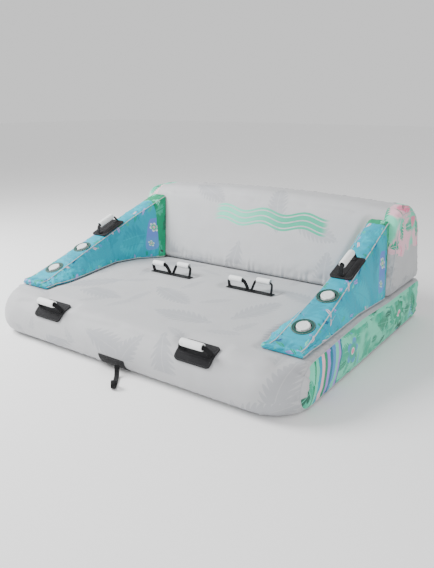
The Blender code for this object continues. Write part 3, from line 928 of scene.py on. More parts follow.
def inflate(obj, seams, cap):
    """Blows the skin out with its seams held. Each point then moves out by less than cap,
    in by less than INWARD_MOST and along the cloth by less than SLIDE_MOST."""
    rest = points_of(obj)
    held = obj.vertex_groups.new(name="held")
    held.add([int(v) for line in seams for v in line], 1.0, "REPLACE")
    cloth = obj.modifiers.new("air", "CLOTH")
    settings = cloth.settings
    settings.quality = 4
    settings.mass = 0.25
    settings.tension_stiffness = 40.0
    settings.compression_stiffness = 40.0
    settings.shear_stiffness = 20.0
    settings.bending_stiffness = 2.0
    settings.shrink_min = -0.012
    settings.use_pressure = True
    settings.uniform_pressure_force = AIR_PRESSURE
    settings.vertex_group_mass = "held"
    settings.effector_weights.gravity = 0.0
    cloth.collision_settings.use_collision = False
    scene = bpy.context.scene
    for step in range(1, AIR_FRAMES + 1):
        scene.frame_set(step)
    graph = bpy.context.evaluated_depsgraph_get()
    blown = obj.evaluated_get(graph).to_mesh()
    moved = np.empty(len(blown.vertices) * 3, np.float32)
    blown.vertices.foreach_get("co", moved)
    obj.evaluated_get(graph).to_mesh_clear()
    obj.modifiers.clear()
    obj.vertex_groups.clear()
    scene.frame_set(1)
    shift = moved.reshape(-1, 3).astype(float) - rest
    outward = points_of(obj, "normal")
    rise = (shift * outward).sum(axis=1)
    slide = shift - outward * rise[:, None]
    eased = np.where(rise > 0, cap * np.tanh(rise / cap), INWARD_MOST * np.tanh(rise / INWARD_MOST))
    reach = np.linalg.norm(slide, axis=1)
    slide *= (SLIDE_MOST * np.tanh(reach / SLIDE_MOST) / np.maximum(reach, 1e-9))[:, None]
    return outward * eased[:, None] + slide


def seam_lines(obj, seams):
    """Each seam's places, with the length along it, for what follows it later."""
    rest = points_of(obj)
    lines = []
    for line in seams:
        path = rest[[int(v) for v in line]]
        lines.append((path, lengths_of(path)))
    return lines


def pucker(obj, lines, height, seed):
    """Small gathers that start at the seams and die out across the panel."""
    total = sum(len(path) for path, _ in lines)
    tree = KDTree(total)
    along = []
    for which, (path, lengths) in enumerate(lines):
        for point, length in zip(path, lengths):
            tree.insert(point, len(along))
            along.append(length + 10.0 * which)
    tree.balance()
    along = np.array(along)
    points = points_of(obj)
    found = [tree.find_n(p, 2) for p in points]
    far = np.array([f[0][2] for f in found])
    second = np.array([f[1][2] for f in found])
    a = along[[f[0][1] for f in found]]
    b = along[[f[1][1] for f in found]]
    near = np.abs(a - b) < 0.1
    share = far / np.maximum(far + second, 1e-9)
    s = np.where(near, a + (b - a) * share, a)
    reach = 0.045 + 0.025 * wave_noise(s, seed, ((0.11, 0.6), (0.043, 0.4)))
    gathers = wave_noise(s, seed + 1, ((0.046, 0.5), (0.031, 0.35), (0.075, 0.4), (0.023, 0.12)))
    fade = np.exp(-((far / np.maximum(reach, 0.012)) ** 2)) * smooth(far / 0.012)
    return gathers * fade * height, far


def tree_of(objects):
    """A tree for nearest-surface queries over several meshes at once."""
    verts = []
    faces = []
    for obj in objects:
        start = len(verts)
        verts += [v.co.copy() for v in obj.data.vertices]
        faces += [tuple(start + v for v in p.vertices) for p in obj.data.polygons]
    return BVHTree.FromPolygons(verts, faces)


FITTING_WORDS = ("_pad", "_strap", "_ring", "_tape", "drain_vent", "tow_patch")
FITTINGS = tree_of([node for name, node in NODES.items() if any(w in name for w in FITTING_WORDS)])


def clearances(obj, neighbours):
    """How far each point is from the other chambers and from what is fixed to the fabric."""
    chambers = tree_of(neighbours)
    most = 0.12

    def gap(tree):
        return np.array([tree.find_nearest(v.co, most)[3] or most for v in obj.data.vertices])

    return gap(chambers), gap(FITTINGS)


RING_PITCH = 0.0165
ARM_RING_PITCH = 0.0125
BASE_SEAM = 3  # the ring where the deck meets a side panel
BACK_SEAM = 2  # the ring where the backrest's cloth meets its end
BACK_PANEL = 9  # the end's print comes this many rings round
KEEL_SEAM = 7  # the place round the base where the coated bottom starts


def build_chambers():
    """The four chambers at rest, with their seams as runs of vertices."""
    made = {}

    places = end_positions(HALF_WIDTH, BASE_EDGE, RING_PITCH)
    rings, starts = zip(*(base_ring(x) for x in places))
    core_z = (BASE_Z + SHELF_Z) / 2
    caps = []
    for side, ring in ((-1, rings[0]), (1, rings[-1])):
        core = ((side * HALF_WIDTH, FRONT_Y + 0.30, core_z), (side * HALF_WIDTH, REAR_Y - 0.13, core_z))
        caps.append(cap_rings(ring, core, 7, (0, 0, 0)))
    marks = starts[0]
    last = len(rings) - 1 - BASE_SEAM
    heel = marks[1] + 1

    def base_slot(r, i):
        if r < BASE_SEAM or r >= last:
            return 1
        return 2 if KEEL_SEAM < i < heel else 0

    obj = skin("base_skin", rings, caps, ("deck", "side", "coating"), base_slot, 1)
    ends = [seam_round(obj, r) for r in (BASE_SEAM, last)]
    long = [seam_along(obj, i, BASE_SEAM, last + 1) for i in (KEEL_SEAM, heel, marks[2] + 1)]
    made["base"] = (obj, ends + long)

    places = end_positions(BACK_HALF, BACK_EDGE, RING_PITCH)
    rings, starts = zip(*(back_ring(x) for x in places))
    caps = []
    for ring in (rings[0], rings[-1]):
        foot = ring[0][0]
        core = []
        for y, z in ((0.52, 0.36), (0.66, 0.60)):
            core.append((np.interp(z, (BACK_Z, BACK_TOP), (foot, foot * (1 - BACK_TAPER))), y, z))
        caps.append(cap_rings(ring, core, 12, (0, 0, 0)))
    marks = starts[0]
    last = len(rings) - 1 - BACK_SEAM

    def back_slot(r, _):
        return 1 if r < BACK_PANEL or r >= len(rings) - 1 - BACK_PANEL else 0

    obj = skin("backrest_skin", rings, caps, ("back", "end"), back_slot, 1)
    ends = [seam_round(obj, r) for r in (BACK_SEAM, last)]
    corners = (marks[1] + 2, marks[2] + 10, marks[0] + 2)
    long = [seam_along(obj, i, BACK_SEAM, last + 1) for i in corners]
    made["backrest"] = (obj, ends + long)

    for label, side in (("left", -1), ("right", 1)):
        places = spread(ARM_SECTIONS[0][0], ARM_REAR_Y, ARM_RING_PITCH)
        rings, starts = zip(*(arm_ring(y, side) for y in places))
        caps = []
        for ring, bulge in ((rings[0], -0.004), (rings[-1], 0.0)):
            ring = np.array(ring)
            middle = ring.mean(axis=0)
            half = 0.25 * (np.abs(ring[:, 0]).max() - np.abs(ring[:, 0]).min())
            core = (middle - (half, 0, 0), middle + (half, 0, 0))
            caps.append(cap_rings(ring, core, 3 if bulge else 9, (0, bulge, 0)))
        obj = skin(f"arm_skin_{label}", rings, caps, ("arm",), lambda r, i: 0, 0)
        marks = starts[0]
        corners = (marks[1] + 2, marks[2] + 2, marks[3] + 4, marks[0] + 1)
        long = [seam_along(obj, i, 0, len(rings)) for i in corners]
        ends = [seam_round(obj, r) for r in (0, len(rings) - 1)]
        made[f"arm_{label}"] = (obj, long + ends)
    return made


# Each chamber's cover, its slot and how far it may swell
CHAMBERS = {
    "base": ("base_cover", "grey_cover", 0.013),
    "backrest": ("backrest_cover", "grey_cover", 0.014),
    "arm_left": ("arm_cover_left", "teal_cover", 0.010),
    "arm_right": ("arm_cover_right", "teal_cover", 0.010),
}
PUCKER_HEIGHT = 0.0050


def flat_share(obj, others, contact, fixed, floor):
    """0 where the skin touches another chamber, a fitting or the floor, 1 away from them.
    Each of the three is (where it starts, over what distance it grows)."""
    distances = (*clearances(obj, others), points_of(obj)[:, 2] - BASE_Z)
    share = 1.0
    for distance, (start, run) in zip(distances, (contact, fixed, floor)):
        share = share * smooth((distance - start) / run)
    return share[:, None]


def finish_chamber(label, obj, seams, others):
    """Inflates and puckers one skin, with its contact faces and fittings left flat."""
    cover, slot, swell = CHAMBERS[label]
    lines = seam_lines(obj, seams)
    shift = inflate(obj, seams, swell)
    share = flat_share(obj, others, (0.004, 0.040), (0.012, 0.050), (0.001, 0.03))
    set_points(obj, points_of(obj) + shift * share)
    subdivide(obj)
    gathers, far = pucker(obj, lines, PUCKER_HEIGHT, 11 * len(label))
    share = flat_share(obj, others, (0.003, 0.020), (0.006, 0.020), (0.003, 0.02))
    set_points(obj, points_of(obj) + points_of(obj, "normal") * gathers[:, None] * share)
    attribute = obj.data.attributes.new("seam", "FLOAT", "POINT")
    attribute.data.foreach_set("value", far.astype(np.float32))
    obj.data.shade_smooth()
    keep(obj, "tube", slot, cover)


def cut_hole(obj, place, radius):
    """Opens a round hole in the fabric about place's axis, with a clean edge."""
    back = place.inverted()
    bm = bmesh.new()
    bm.from_mesh(obj.data)
    local = {v: back @ v.co for v in bm.verts}
    inside = {v for v, p in local.items() if math.hypot(p.x, p.y) < radius and abs(p.z) < 0.02}
    gone = [f for f in bm.faces if any(v in inside for v in f.verts)]
    rim = {v for f in gone for v in f.verts if v not in inside}
    bmesh.ops.delete(bm, geom=gone, context="FACES")
    for v in rim:
        if v.is_valid and v.link_faces:
            p = local[v]
            flat = Vector((p.x, p.y, 0)).normalized() * radius
            v.co = place @ Vector((flat.x, flat.y, p.z))
    bmesh.ops.delete(bm, geom=[v for v in bm.verts if not v.link_faces], context="VERTS")
    bm.to_mesh(obj.data)
    bm.free()


PIPING_RADIUS = 0.0028


def cord(name, path, closed):
    """A round cord of piping along points."""
    curve = bpy.data.curves.new(name, "CURVE")
    curve.dimensions = "3D"
    curve.bevel_depth = PIPING_RADIUS
    curve.bevel_resolution = 2
    curve.use_fill_caps = True
    spline = curve.splines.new("POLY")
    spline.points.add(len(path) - 1)
    for point, place in zip(spline.points, path):
        point.co = (*place, 1.0)
    spline.use_cyclic_u = closed
    mesh = mesh_of(curve, name, MATERIALS["piping"])
    mesh.shade_smooth()
    return link(name, mesh)


def join(name, pieces):
    """One object made of several, with each one's own material kept."""
    with bpy.context.temp_override(
        active_object=pieces[0], selected_editable_objects=pieces, selected_objects=pieces
    ):
        bpy.ops.object.join()
    pieces[0].name = name
    return pieces[0]


def welts(label, obj, seams):
    """Piping sewn into these seams, following the finished skin."""
    surface = points_of(obj) + 0.0004 * points_of(obj, "normal")
    pieces = []
    for k, seam in enumerate(seams):
        closed = seam[0] == seam[-1]
        path = surface[seam[:-1] if closed else seam].tolist()
        pieces.append(cord(f"{label}_piping_{k}", path, closed))
    keep(join(f"{label}_piping", pieces), "tube", CHAMBERS[label][1])


STITCH_LENGTH = 0.0042
STITCH_PITCH = 0.0062
THREAD_RADIUS = 0.0006
# Along the stitch, out from the cloth, and how thick the thread shows
STITCH_PROFILE = ((-0.5, -0.3, 0.35), (-0.3, 0.35, 0.9), (0.0, 0.6, 1.0), (0.3, 0.35, 0.9), (0.5, -0.3, 0.35))
STITCH_SIDES = 5


def stitches(name, path, outward, material="stitch_dark"):
    """A row of thread stitches along a path, each a small capsule that dips at its ends.
    outward is one direction for all of it, or one for each point."""
    path = np.array(path, float)
    outward = np.broadcast_to(np.array(outward, float), path.shape)
    lengths = lengths_of(path)
    count = max(1, int(lengths[-1] / STITCH_PITCH))
    verts = []
    faces = []
    for k in range(count):
        middle = (k + 0.5) * lengths[-1] / count
        first, last = (at_length(middle + d * STITCH_LENGTH, lengths, path) for d in (-0.5, 0.5))
        out = at_length(middle, lengths, outward)
        out /= np.linalg.norm(out)
        run = last - first
        side = np.cross(out, run)
        side /= max(np.linalg.norm(side), 1e-9)
        start = len(verts)
        for share, lift, wide in STITCH_PROFILE:
            centre = (first + last) / 2 + run * share + out * lift * THREAD_RADIUS
            for turn in range(STITCH_SIDES):
                angle = 2 * math.pi * turn / STITCH_SIDES
                spoke = side * math.cos(angle) + out * math.sin(angle)
                verts.append(centre + THREAD_RADIUS * wide * spoke)
        shell = tube_faces(len(STITCH_PROFILE), STITCH_SIDES) + tube_ends(len(STITCH_PROFILE), STITCH_SIDES)
        faces += [tuple(start + v for v in face) for face in shell]
    return new_object(name, verts, faces, MATERIALS[material])


def at_length(length, lengths, values):
    """The row of values at this length along."""
    return np.array([np.interp(length, lengths, values[:, c]) for c in range(3)])


# ---- Handles


def ribbon(name, path, ups, width, thick, material, place=None):
    """A flat strap along a path. ups point away from its flat face; its edges are round."""
    path = np.array(path, float)
    ups = np.broadcast_to(np.array(ups, float), path.shape)
    runs = np.gradient(path, axis=0)
    verts = []
    uvs = []
    across = [-1.0, -0.97, -0.5, 0.0, 0.5, 0.97, 1.0]
    section = [(a, 1.0 if abs(a) < 0.99 else 0.0) for a in across]
    section += [(a, -1.0) for a in reversed(across[1:-1])]
    for point, run, outward, length in zip(path, runs, ups, lengths_of(path)):
        run = run / np.linalg.norm(run)
        side = np.cross(run, outward)
        side /= np.linalg.norm(side)
        outward = np.cross(side, run)
        for a, b in section:
            verts.append(point + side * a * width / 2 + outward * b * thick / 2)
            uvs.append((length, a * width / 2 + (b < 0) * 0.05))
    faces = tube_faces(len(path), len(section)) + tube_ends(len(path), len(section))
    if place is not None:
        verts = [place(Vector(v)) for v in verts]
    obj = new_object(name, verts, faces, MATERIALS[material])
    lay_fabric(obj, uvs)
    return obj


def faces_up(path):
    """The directions away from a strap that runs along path in its own XZ plane."""
    return [np.cross(run, (0.0, 1.0, 0.0)) for run in np.gradient(np.array(path), axis=0)]


def walk(bed, corners, steps, height):
    """Points on the bed along the lines between corners, steps to each line."""
    path = []
    for (ua, va), (ub, vb) in zip(corners, corners[1:]):
        for t in range(steps):
            path.append(bed.at(ua + (ub - ua) * t / steps, va + (vb - va) * t / steps, height))
    return path


def smooth_path(points, steps):
    """A Catmull-Rom line through points, with steps pieces between each two."""
    points = [np.array(p, float) for p in points]
    padded = [2 * points[0] - points[1], *points, 2 * points[-1] - points[-2]]
    made = []
    for k in range(1, len(padded) - 2):
        a, b, c, d = padded[k - 1:k + 3]
        for s in range(steps):
            t = s / steps
            square, cube = 2 * a - 5 * b + 4 * c - d, 3 * b - a - 3 * c + d
            made.append(0.5 * (2 * b + (c - a) * t + square * t**2 + cube * t**3))
    made.append(points[-1])
    return made


def lathe(name, profile, material, place, segments=64):
    """Turns an (r, z) profile about +Z, closed where it meets the axis."""
    verts = []
    rings = []
    for r, z in profile:
        if r < 1e-6:
            rings.append([len(verts)])
            verts.append(Vector((0, 0, z)))
        else:
            rings.append(list(range(len(verts), len(verts) + segments)))
            for k in range(segments):
                angle = 2 * math.pi * k / segments
                verts.append(Vector((r * math.cos(angle), r * math.sin(angle), z)))
    faces = []
    pairs = list(zip(rings, rings[1:]))
    if len(rings[0]) > 1 and len(rings[-1]) > 1:
        pairs.append((rings[-1], rings[0]))
    for first, second in pairs:
        for k in range(segments):
            quad = [first[k % len(first)], first[(k + 1) % len(first)]]
            quad += [second[(k + 1) % len(second)], second[k % len(second)]]
            faces.append(tuple(dict.fromkeys(quad)))
    return new_object(name, [place @ v for v in verts], faces, MATERIALS[material])


def softened(corners, radius, steps=3):
    """An open (r, z) profile with its inner corners rounded."""
    points = [Vector(corners[0])]
    for before, here, after in zip(corners, corners[1:], corners[2:]):
        here = Vector(here)
        u = Vector(before) - here
        v = Vector(after) - here
        cut = min(radius, 0.45 * u.length, 0.45 * v.length)
        a = here + u.normalized() * cut
        b = here + v.normalized() * cut
        for k in range(steps + 1):
            t = k / steps
            points.append(a * (1 - t) ** 2 + here * 2 * t * (1 - t) + b * t**2)
    points.append(Vector(corners[-1]))
    return [(p.x, p.y) for p in points]


class FlatBed:
    """Maps (along, across, height) over a flat pad to the row frame."""

    def __init__(self, place):
        self.frame = place

    def at(self, u, v, h):
        return self.frame @ Vector((u, v, h))


class LipBed:
    """The same over the lip, where across goes round the lip's arc."""

    def __init__(self, x):
        self.centre = Vector((x, FRONT_Y + LIP_RADIUS, LIP_CENTRE_Z))
        self.base = LIP_RADIUS + 3 * GAP
        normal = Vector((0, -math.cos(FRONT_PAD_ANGLE), math.sin(FRONT_PAD_ANGLE)))
        self.frame = frame_at(self.centre + normal * self.base, normal, (1, 0, 0))

    def at(self, u, v, h):
        angle = FRONT_PAD_ANGLE + v / (self.base + PAD_THICK / 2)
        radius = self.base + h
        bent = self.centre + Vector((u, -radius * math.cos(angle), radius * math.sin(angle)))
        flat = self.frame @ Vector((u, v, h))
        share = float(smooth((h - PAD_THICK) / 0.012))
        return bent.lerp(flat, share)


PAD_CORNER = 0.018
PAD_DOME = 0.0018
PAD_CHANNELS = (-0.020, 0.020)
CHANNEL_DEPTH = 0.0022


def knuckle_pad(name, bed):
    """A quilted foam pad: domed panels between stitched channels, with a bound edge."""
    nu, nv = 84, 52
    a, b = PAD_LENGTH / 2 - 0.001, PAD_WIDTH / 2 - 0.001

    def squircle(s, t):
        """Takes a unit square onto a rectangle with round corners."""
        u, v = s * a, t * b
        inner_a, inner_b = a - PAD_CORNER, b - PAD_CORNER
        du, dv = abs(u) - inner_a, abs(v) - inner_b
        if du > 0 and dv > 0:
            far = max(du, dv)
            length = math.hypot(du, dv)
            u = math.copysign(inner_a + du * far / length, u)
            v = math.copysign(inner_b + dv * far / length, v)
        return u, v

    def height(u, v):
        rim = min(a - abs(u), b - abs(v))
        dome = PAD_THICK - PAD_DOME + PAD_DOME * float(smooth(rim / 0.016))
        for line in PAD_CHANNELS:
            dome -= CHANNEL_DEPTH * math.exp(-(((v - line) / 0.0035) ** 2)) * float(smooth(rim / 0.02))
        return dome

    def off(u, v):
        """The direction away from the bed at this place."""
        return (bed.at(u, v, 0.05) - bed.at(u, v, 0.0)).normalized()

    verts = []
    uvs = []
    for level in (1, 0):
        for i in range(nu + 1):
            for j in range(nv + 1):
                u, v = squircle(2 * i / nu - 1, 2 * j / nv - 1)
                h = height(u, v) if level else GAP
                verts.append(bed.at(u, v, h))
                uvs.append((u, v))
    faces = []
    total = (nu + 1) * (nv + 1)
    for i in range(nu):
        for j in range(nv):
            k = i * (nv + 1) + j
            faces.append((k, k + nv + 1, k + nv + 2, k + 1))
            faces.append((total + k, total + k + 1, total + k + nv + 2, total + k + nv + 1))
    rim = [(i, 0) for i in range(nu)] + [(nu, j) for j in range(nv)]
    rim += [(i, nv) for i in range(nu, 0, -1)] + [(0, j) for j in range(nv, 0, -1)]
    edge = [i * (nv + 1) + j for i, j in rim]
    for first, second in zip(edge, edge[1:] + edge[:1]):
        faces.append((first, second, total + second, total + first))
    pad = new_object(name + "_knuckle_pad", verts, faces, MATERIALS["pad"])
    lay_fabric(pad, uvs)
    keep(pad, "tube", "knuckle_pad", name + "_pad")

    loop_line = [squircle(2 * i / nu - 1, 2 * j / nv - 1) for i, j in rim]
    loop_line.append(loop_line[0])
    inset = [(u * (1 - 0.004 / a), v * (1 - 0.004 / b)) for u, v in loop_line]
    tops = [bed.at(u, v, PAD_THICK * 0.55) for u, v in inset]
    outs = [off(u, v) for u, v in inset]
    binding = ribbon(name + "_binding", tops, outs, 0.011, PAD_THICK * 0.75, "binding")
    keep(binding, "tube", "webbing")
    sewn = [bed.at(u * (1 - 0.0062 / a), v * (1 - 0.0062 / b), PAD_THICK * 0.97) for u, v in loop_line]
    rows = [stitches(name + "_edge_thread", sewn, outs)]
    for k, line in enumerate(PAD_CHANNELS):
        spots = [(-a + 0.014 + (2 * a - 0.028) * s / 40, line) for s in range(41)]
        path = [bed.at(u, v, height(u, v) + 0.0003) for u, v in spots]
        rows.append(stitches(f"{name}_channel_{k}", path, [off(u, v) for u, v in spots]))
    keep(join(name + "_pad_thread", rows), "tube", "knuckle_pad")


def strap_handle(name, body, bed, floor, half, rise, slope, length, radius, tilt, tab, nodes):
    """A webbing arch through a foam tube. floor is the height it is sewn down at, and tab
    how far its sewn ends run: outward if positive, back under the grip if negative."""
    hinge = floor + HINGE_ABOVE
    low = floor + WEB_THICK * 0.6
    end = half + tab
    bend = 0.010
    side = [
        (end, low),
        (half + tab * 0.5, low),
        (half + math.copysign(bend, tab), low + 0.0002),
        (half + 0.15 * math.copysign(bend, tab), low + 0.0035),
        (half - 0.002, hinge + 0.007),
        (half - slope * 0.35, hinge + rise * 0.5),
        (half - slope * 0.75, hinge + rise * 0.86),
        (half - slope - 0.012, hinge + rise),
        (length / 4, hinge + rise),
    ]
    line = [(-u, w) for u, w in side] + [(u, w) for u, w in reversed(side)]
    path = smooth_path([(u, 0.0, w) for u, w in line], 5)

    def place(v):
        lean = tilt * float(smooth((v.z - low) / (hinge + 0.010 - low)))
        pivot = Vector((0, 0, hinge))
        turned = Matrix.Rotation(lean, 3, "X") @ (v - pivot) + pivot
        return bed.at(*turned)

    web = ribbon(name + "_webbing", path, faces_up(path), WEB_WIDTH, WEB_THICK, "webbing", place)
    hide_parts(nodes[0])
    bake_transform(web)

    normal = (bed.frame.to_3x3() @ Vector((0, 0, 1))).normalized()
    for label, s in (("left", -1), ("right", 1)):
        u0, u1 = sorted((s * (half + 0.25 * tab), s * (end - 0.12 * tab)))
        v0 = WEB_WIDTH / 2 - 0.003
        corners = [(u0, -v0), (u1, -v0), (u1, v0), (u0, v0), (u0, -v0), (u1, v0), (u1, -v0), (u0, v0)]
        seam = walk(bed, corners, 6, low + WEB_THICK * 0.62)
        keep(stitches(f"{name}_box_{label}", seam, normal), "tube", "webbing")

    swing = Matrix.Translation((0, 0, hinge)) @ Matrix.Rotation(tilt, 4, "X") @ up(rise)
    along = bed.frame @ swing @ Matrix.Rotation(math.pi / 2, 4, "Y")
    halfway = length / 2
    edge = 0.0045
    corners = [(GRIP_BORE, -halfway + 0.004), (GRIP_BORE + 0.001, -halfway), (radius - 0.001, -halfway)]
    corners += [(radius, -halfway + edge), (radius * 1.02, -halfway * 0.4), (radius * 1.02, halfway * 0.4)]
    corners += [(radius, halfway - edge), (radius - 0.001, halfway), (GRIP_BORE + 0.001, halfway)]
    corners += [(GRIP_BORE, halfway - 0.004)]
    hold = lathe(name + "_foam", softened(corners, 0.0035), "grip", along, 48)
    keep(hold, body, "grip_foam", nodes[1])


def pad_handle(name, bed):
    knuckle_pad(name, bed)
    size = (LOOP_HALF, GRIP_RISE, LOOP_SLOPE, GRIP_LENGTH, GRIP_RADIUS)
    strap_handle(name, name, bed, PAD_THICK, *size, 0.0, -0.030, (name + "_loop", name + "_grip"))


def twin_handle(name, x):
    """Two grips side by side on one strap, leaning apart."""
    bed = FlatBed(Matrix.Translation((x, DECK_HANDLE_Y, DECK_PEAK_Z)))
    reach = TWIN_LENGTH / 2
    level = 0.0022
    count = 40
    line = [bed.at(-reach + TWIN_LENGTH * k / count, 0, level) for k in range(count + 1)]
    strap = ribbon(name + "_base_strap", line, (0, 0, 1), TWIN_WIDTH, 0.0026, "webbing")
    keep(strap, "tube", "webbing", name + "_strap")
    edge = TWIN_WIDTH / 2 - 0.003
    end = reach - 0.004
    sewn = level + 0.0016
    path = walk(bed, [(-end, -edge), (end, -edge), (end, edge), (-end, edge), (-end, -edge)], 30, sewn)
    rows = [stitches(name + "_strap_edge", path, (0, 0, 1))]
    for s in (-1, 0, 1):
        for k in range(3):
            u = s * (reach - 0.012) + (k - 1) * 0.004
            across = [bed.at(u, -edge + 2 * edge * t / 10, sewn) for t in range(11)]
            rows.append(stitches(f"{name}_bar_{s + 1}_{k}", across, (0, 0, 1)))
    keep(join(name + "_strap_thread", rows), "tube", "webbing")
    half = TWIN_LENGTH / 4 - 0.012
    for label, s, tilt in (("left", -1, TWIN_TILT), ("right", 1, -TWIN_TILT)):
        place = FlatBed(bed.frame @ Matrix.Translation((s * TWIN_LENGTH / 4, 0, 0)))
        body = f"{name}_{label}"
        size = (half, TWIN_RISE, TWIN_SLOPE, TWIN_GRIP, TWIN_RADIUS)
        strap_handle(body, body, place, level + 0.0013, *size, tilt, -0.020, (body + "_loop", body + "_grip"))


# ---- Valves, drains, zips and the tow point


def arm_top(x, y):
    """A frame on the armrest's sloping top, +X up the slope."""
    z = ARM_TOP_Z + ARM_SLOPE * (y - ARM_TOP_Y)
    return frame_at((x, y, z), (0, -ARM_SLOPE, 1), (0, 1, ARM_SLOPE))


def valve(name, place):
    """A welded flange, a white body and a cap with a grip rim, on a tongue hinge."""
    corners = [(VALVE_RING_BORE, GAP), (VALVE_RING, GAP), (VALVE_RING, 0.0018), (VALVE_RING - 0.005, 0.0032)]
    corners += [(0.049, 0.0021), (0.046, 0.0027), (0.043, 0.0027), (VALVE_RING_BORE, 0.0020)]
    ring = lathe(name + "_flange", softened(corners, 0.001), "ring", place, 72)
    keep(ring, "tube", "valve_surround", name + "_ring")
    circle = [2 * math.pi * k / 90 for k in range(91)]
    radius = VALVE_RING - 0.0026
    path = [place @ Vector((radius * math.cos(t), radius * math.sin(t), 0.0029)) for t in circle]
    outward = place.to_3x3() @ Vector((0, 0, 1))
    keep(stitches(name + "_thread", path, outward, "stitch"), "tube", "valve_surround")

    neck = VALVE_NECK - 0.002
    corners = [(VALVE_BORE, -0.024), (VALVE_NECK, -0.024), (VALVE_NECK, -0.0075), (0.036, -0.0075)]
    corners += [(0.036, -0.0055), (neck, -0.0055), (neck, 0.003), (VALVE_BORE, 0.003)]
    body = lathe(name + "_socket", softened(corners, 0.0008), "white", place, 64)
    keep(body, "tube", "valve_plastic", name + "_body")

    rim = VALVE_CAP
    corners = [(0.0, 0.0083), (0.010, 0.0083), (0.0115, 0.0091), (0.0135, 0.0091), (0.015, 0.0083)]
    corners += [(0.024, 0.0083), (0.026, 0.0095), (rim - 0.0038, 0.0095), (rim - 0.0006, 0.0076)]
    plug = VALVE_BORE - 0.001
    corners += [(rim - 0.0006, 0.0036), (plug, 0.0036), (plug, -0.001), (0.0, -0.001)]
    cap = lathe(name + "_lid", softened(corners, 0.0007), "white", place, 72)
    pieces = [cap]
    for k in range(30):
        angle = 2 * math.pi * (k + 0.5) / 30
        if math.cos(angle) > 0.93:
            continue
        spot = place @ Matrix.Rotation(angle, 4, "Z") @ Matrix.Translation((rim - 0.0007, 0, 0.0059))
        pieces.append(bar(f"{name}_rib_{k}", (0.0014, 0.0022, 0.0042), "white", spot))
    tab = place @ Matrix.Translation((-rim - 0.0015, 0, 0.0065))
    pieces.append(bar(name + "_tab", (0.0075, 0.014, 0.003), "white", tab))
    tongue = place @ Matrix.Translation((CAP_HINGE - 0.0035, 0, CAP_HINGE_H + 0.0006))
    pieces.append(bar(name + "_tongue", (0.0080, 0.013, 0.0016), "white", tongue))
    keep(join(name + "_lid", pieces), name + "_cap", "valve_plastic", name + "_cap")


def bar(name, size, material, place):
    """A small block with round edges."""
    bm = bmesh.new()
    bmesh.ops.create_cube(bm, size=1.0)
    bmesh.ops.scale(bm, vec=size, verts=bm.verts)
    bmesh.ops.bevel(bm, geom=bm.edges[:], offset=0.24 * min(size), segments=2, affect="EDGES", profile=0.5)
    bmesh.ops.transform(bm, matrix=place, verts=bm.verts)
    mesh = bpy.data.meshes.new(name)
    bm.to_mesh(mesh)
    bm.free()
    mesh.shade_smooth()
    mesh.set_sharp_from_angle(angle=math.radians(50))
    mesh.materials.append(MATERIALS[material])
    return link(name, mesh)


def drain(name, x):
    """A moulded vent: a rim round a slotted disc."""
    place = frame_at((x, REAR_Y, DRAIN_Z), (0, 1, 0), (1, 0, 0))
    corners = [(0.023, GAP), (0.034, GAP), (0.034, 0.002), (0.0315, 0.0048), (0.0265, 0.0048)]
    corners.append((0.024, 0.0026))
    pieces = [lathe(name + "_rim", softened(corners, 0.0008), "black", place, 64)]
    disc = [(0.0, 0.0011), (0.0245, 0.0011), (0.0245, GAP), (0.0, GAP)]
    pieces.append(lathe(name + "_back", disc, "black", place, 48))
    for k in range(-4, 5):
        reach = math.sqrt(0.0242**2 - (0.0052 * k) ** 2)
        slat = place @ Matrix.Translation((0, 0.0052 * k, 0.0020))
        pieces.append(bar(f"{name}_slat_{k + 4}", (2 * reach, 0.0026, 0.0018), "black", slat))
    keep(join(name + "_grille", pieces), "tube", "drain_plastic", name)


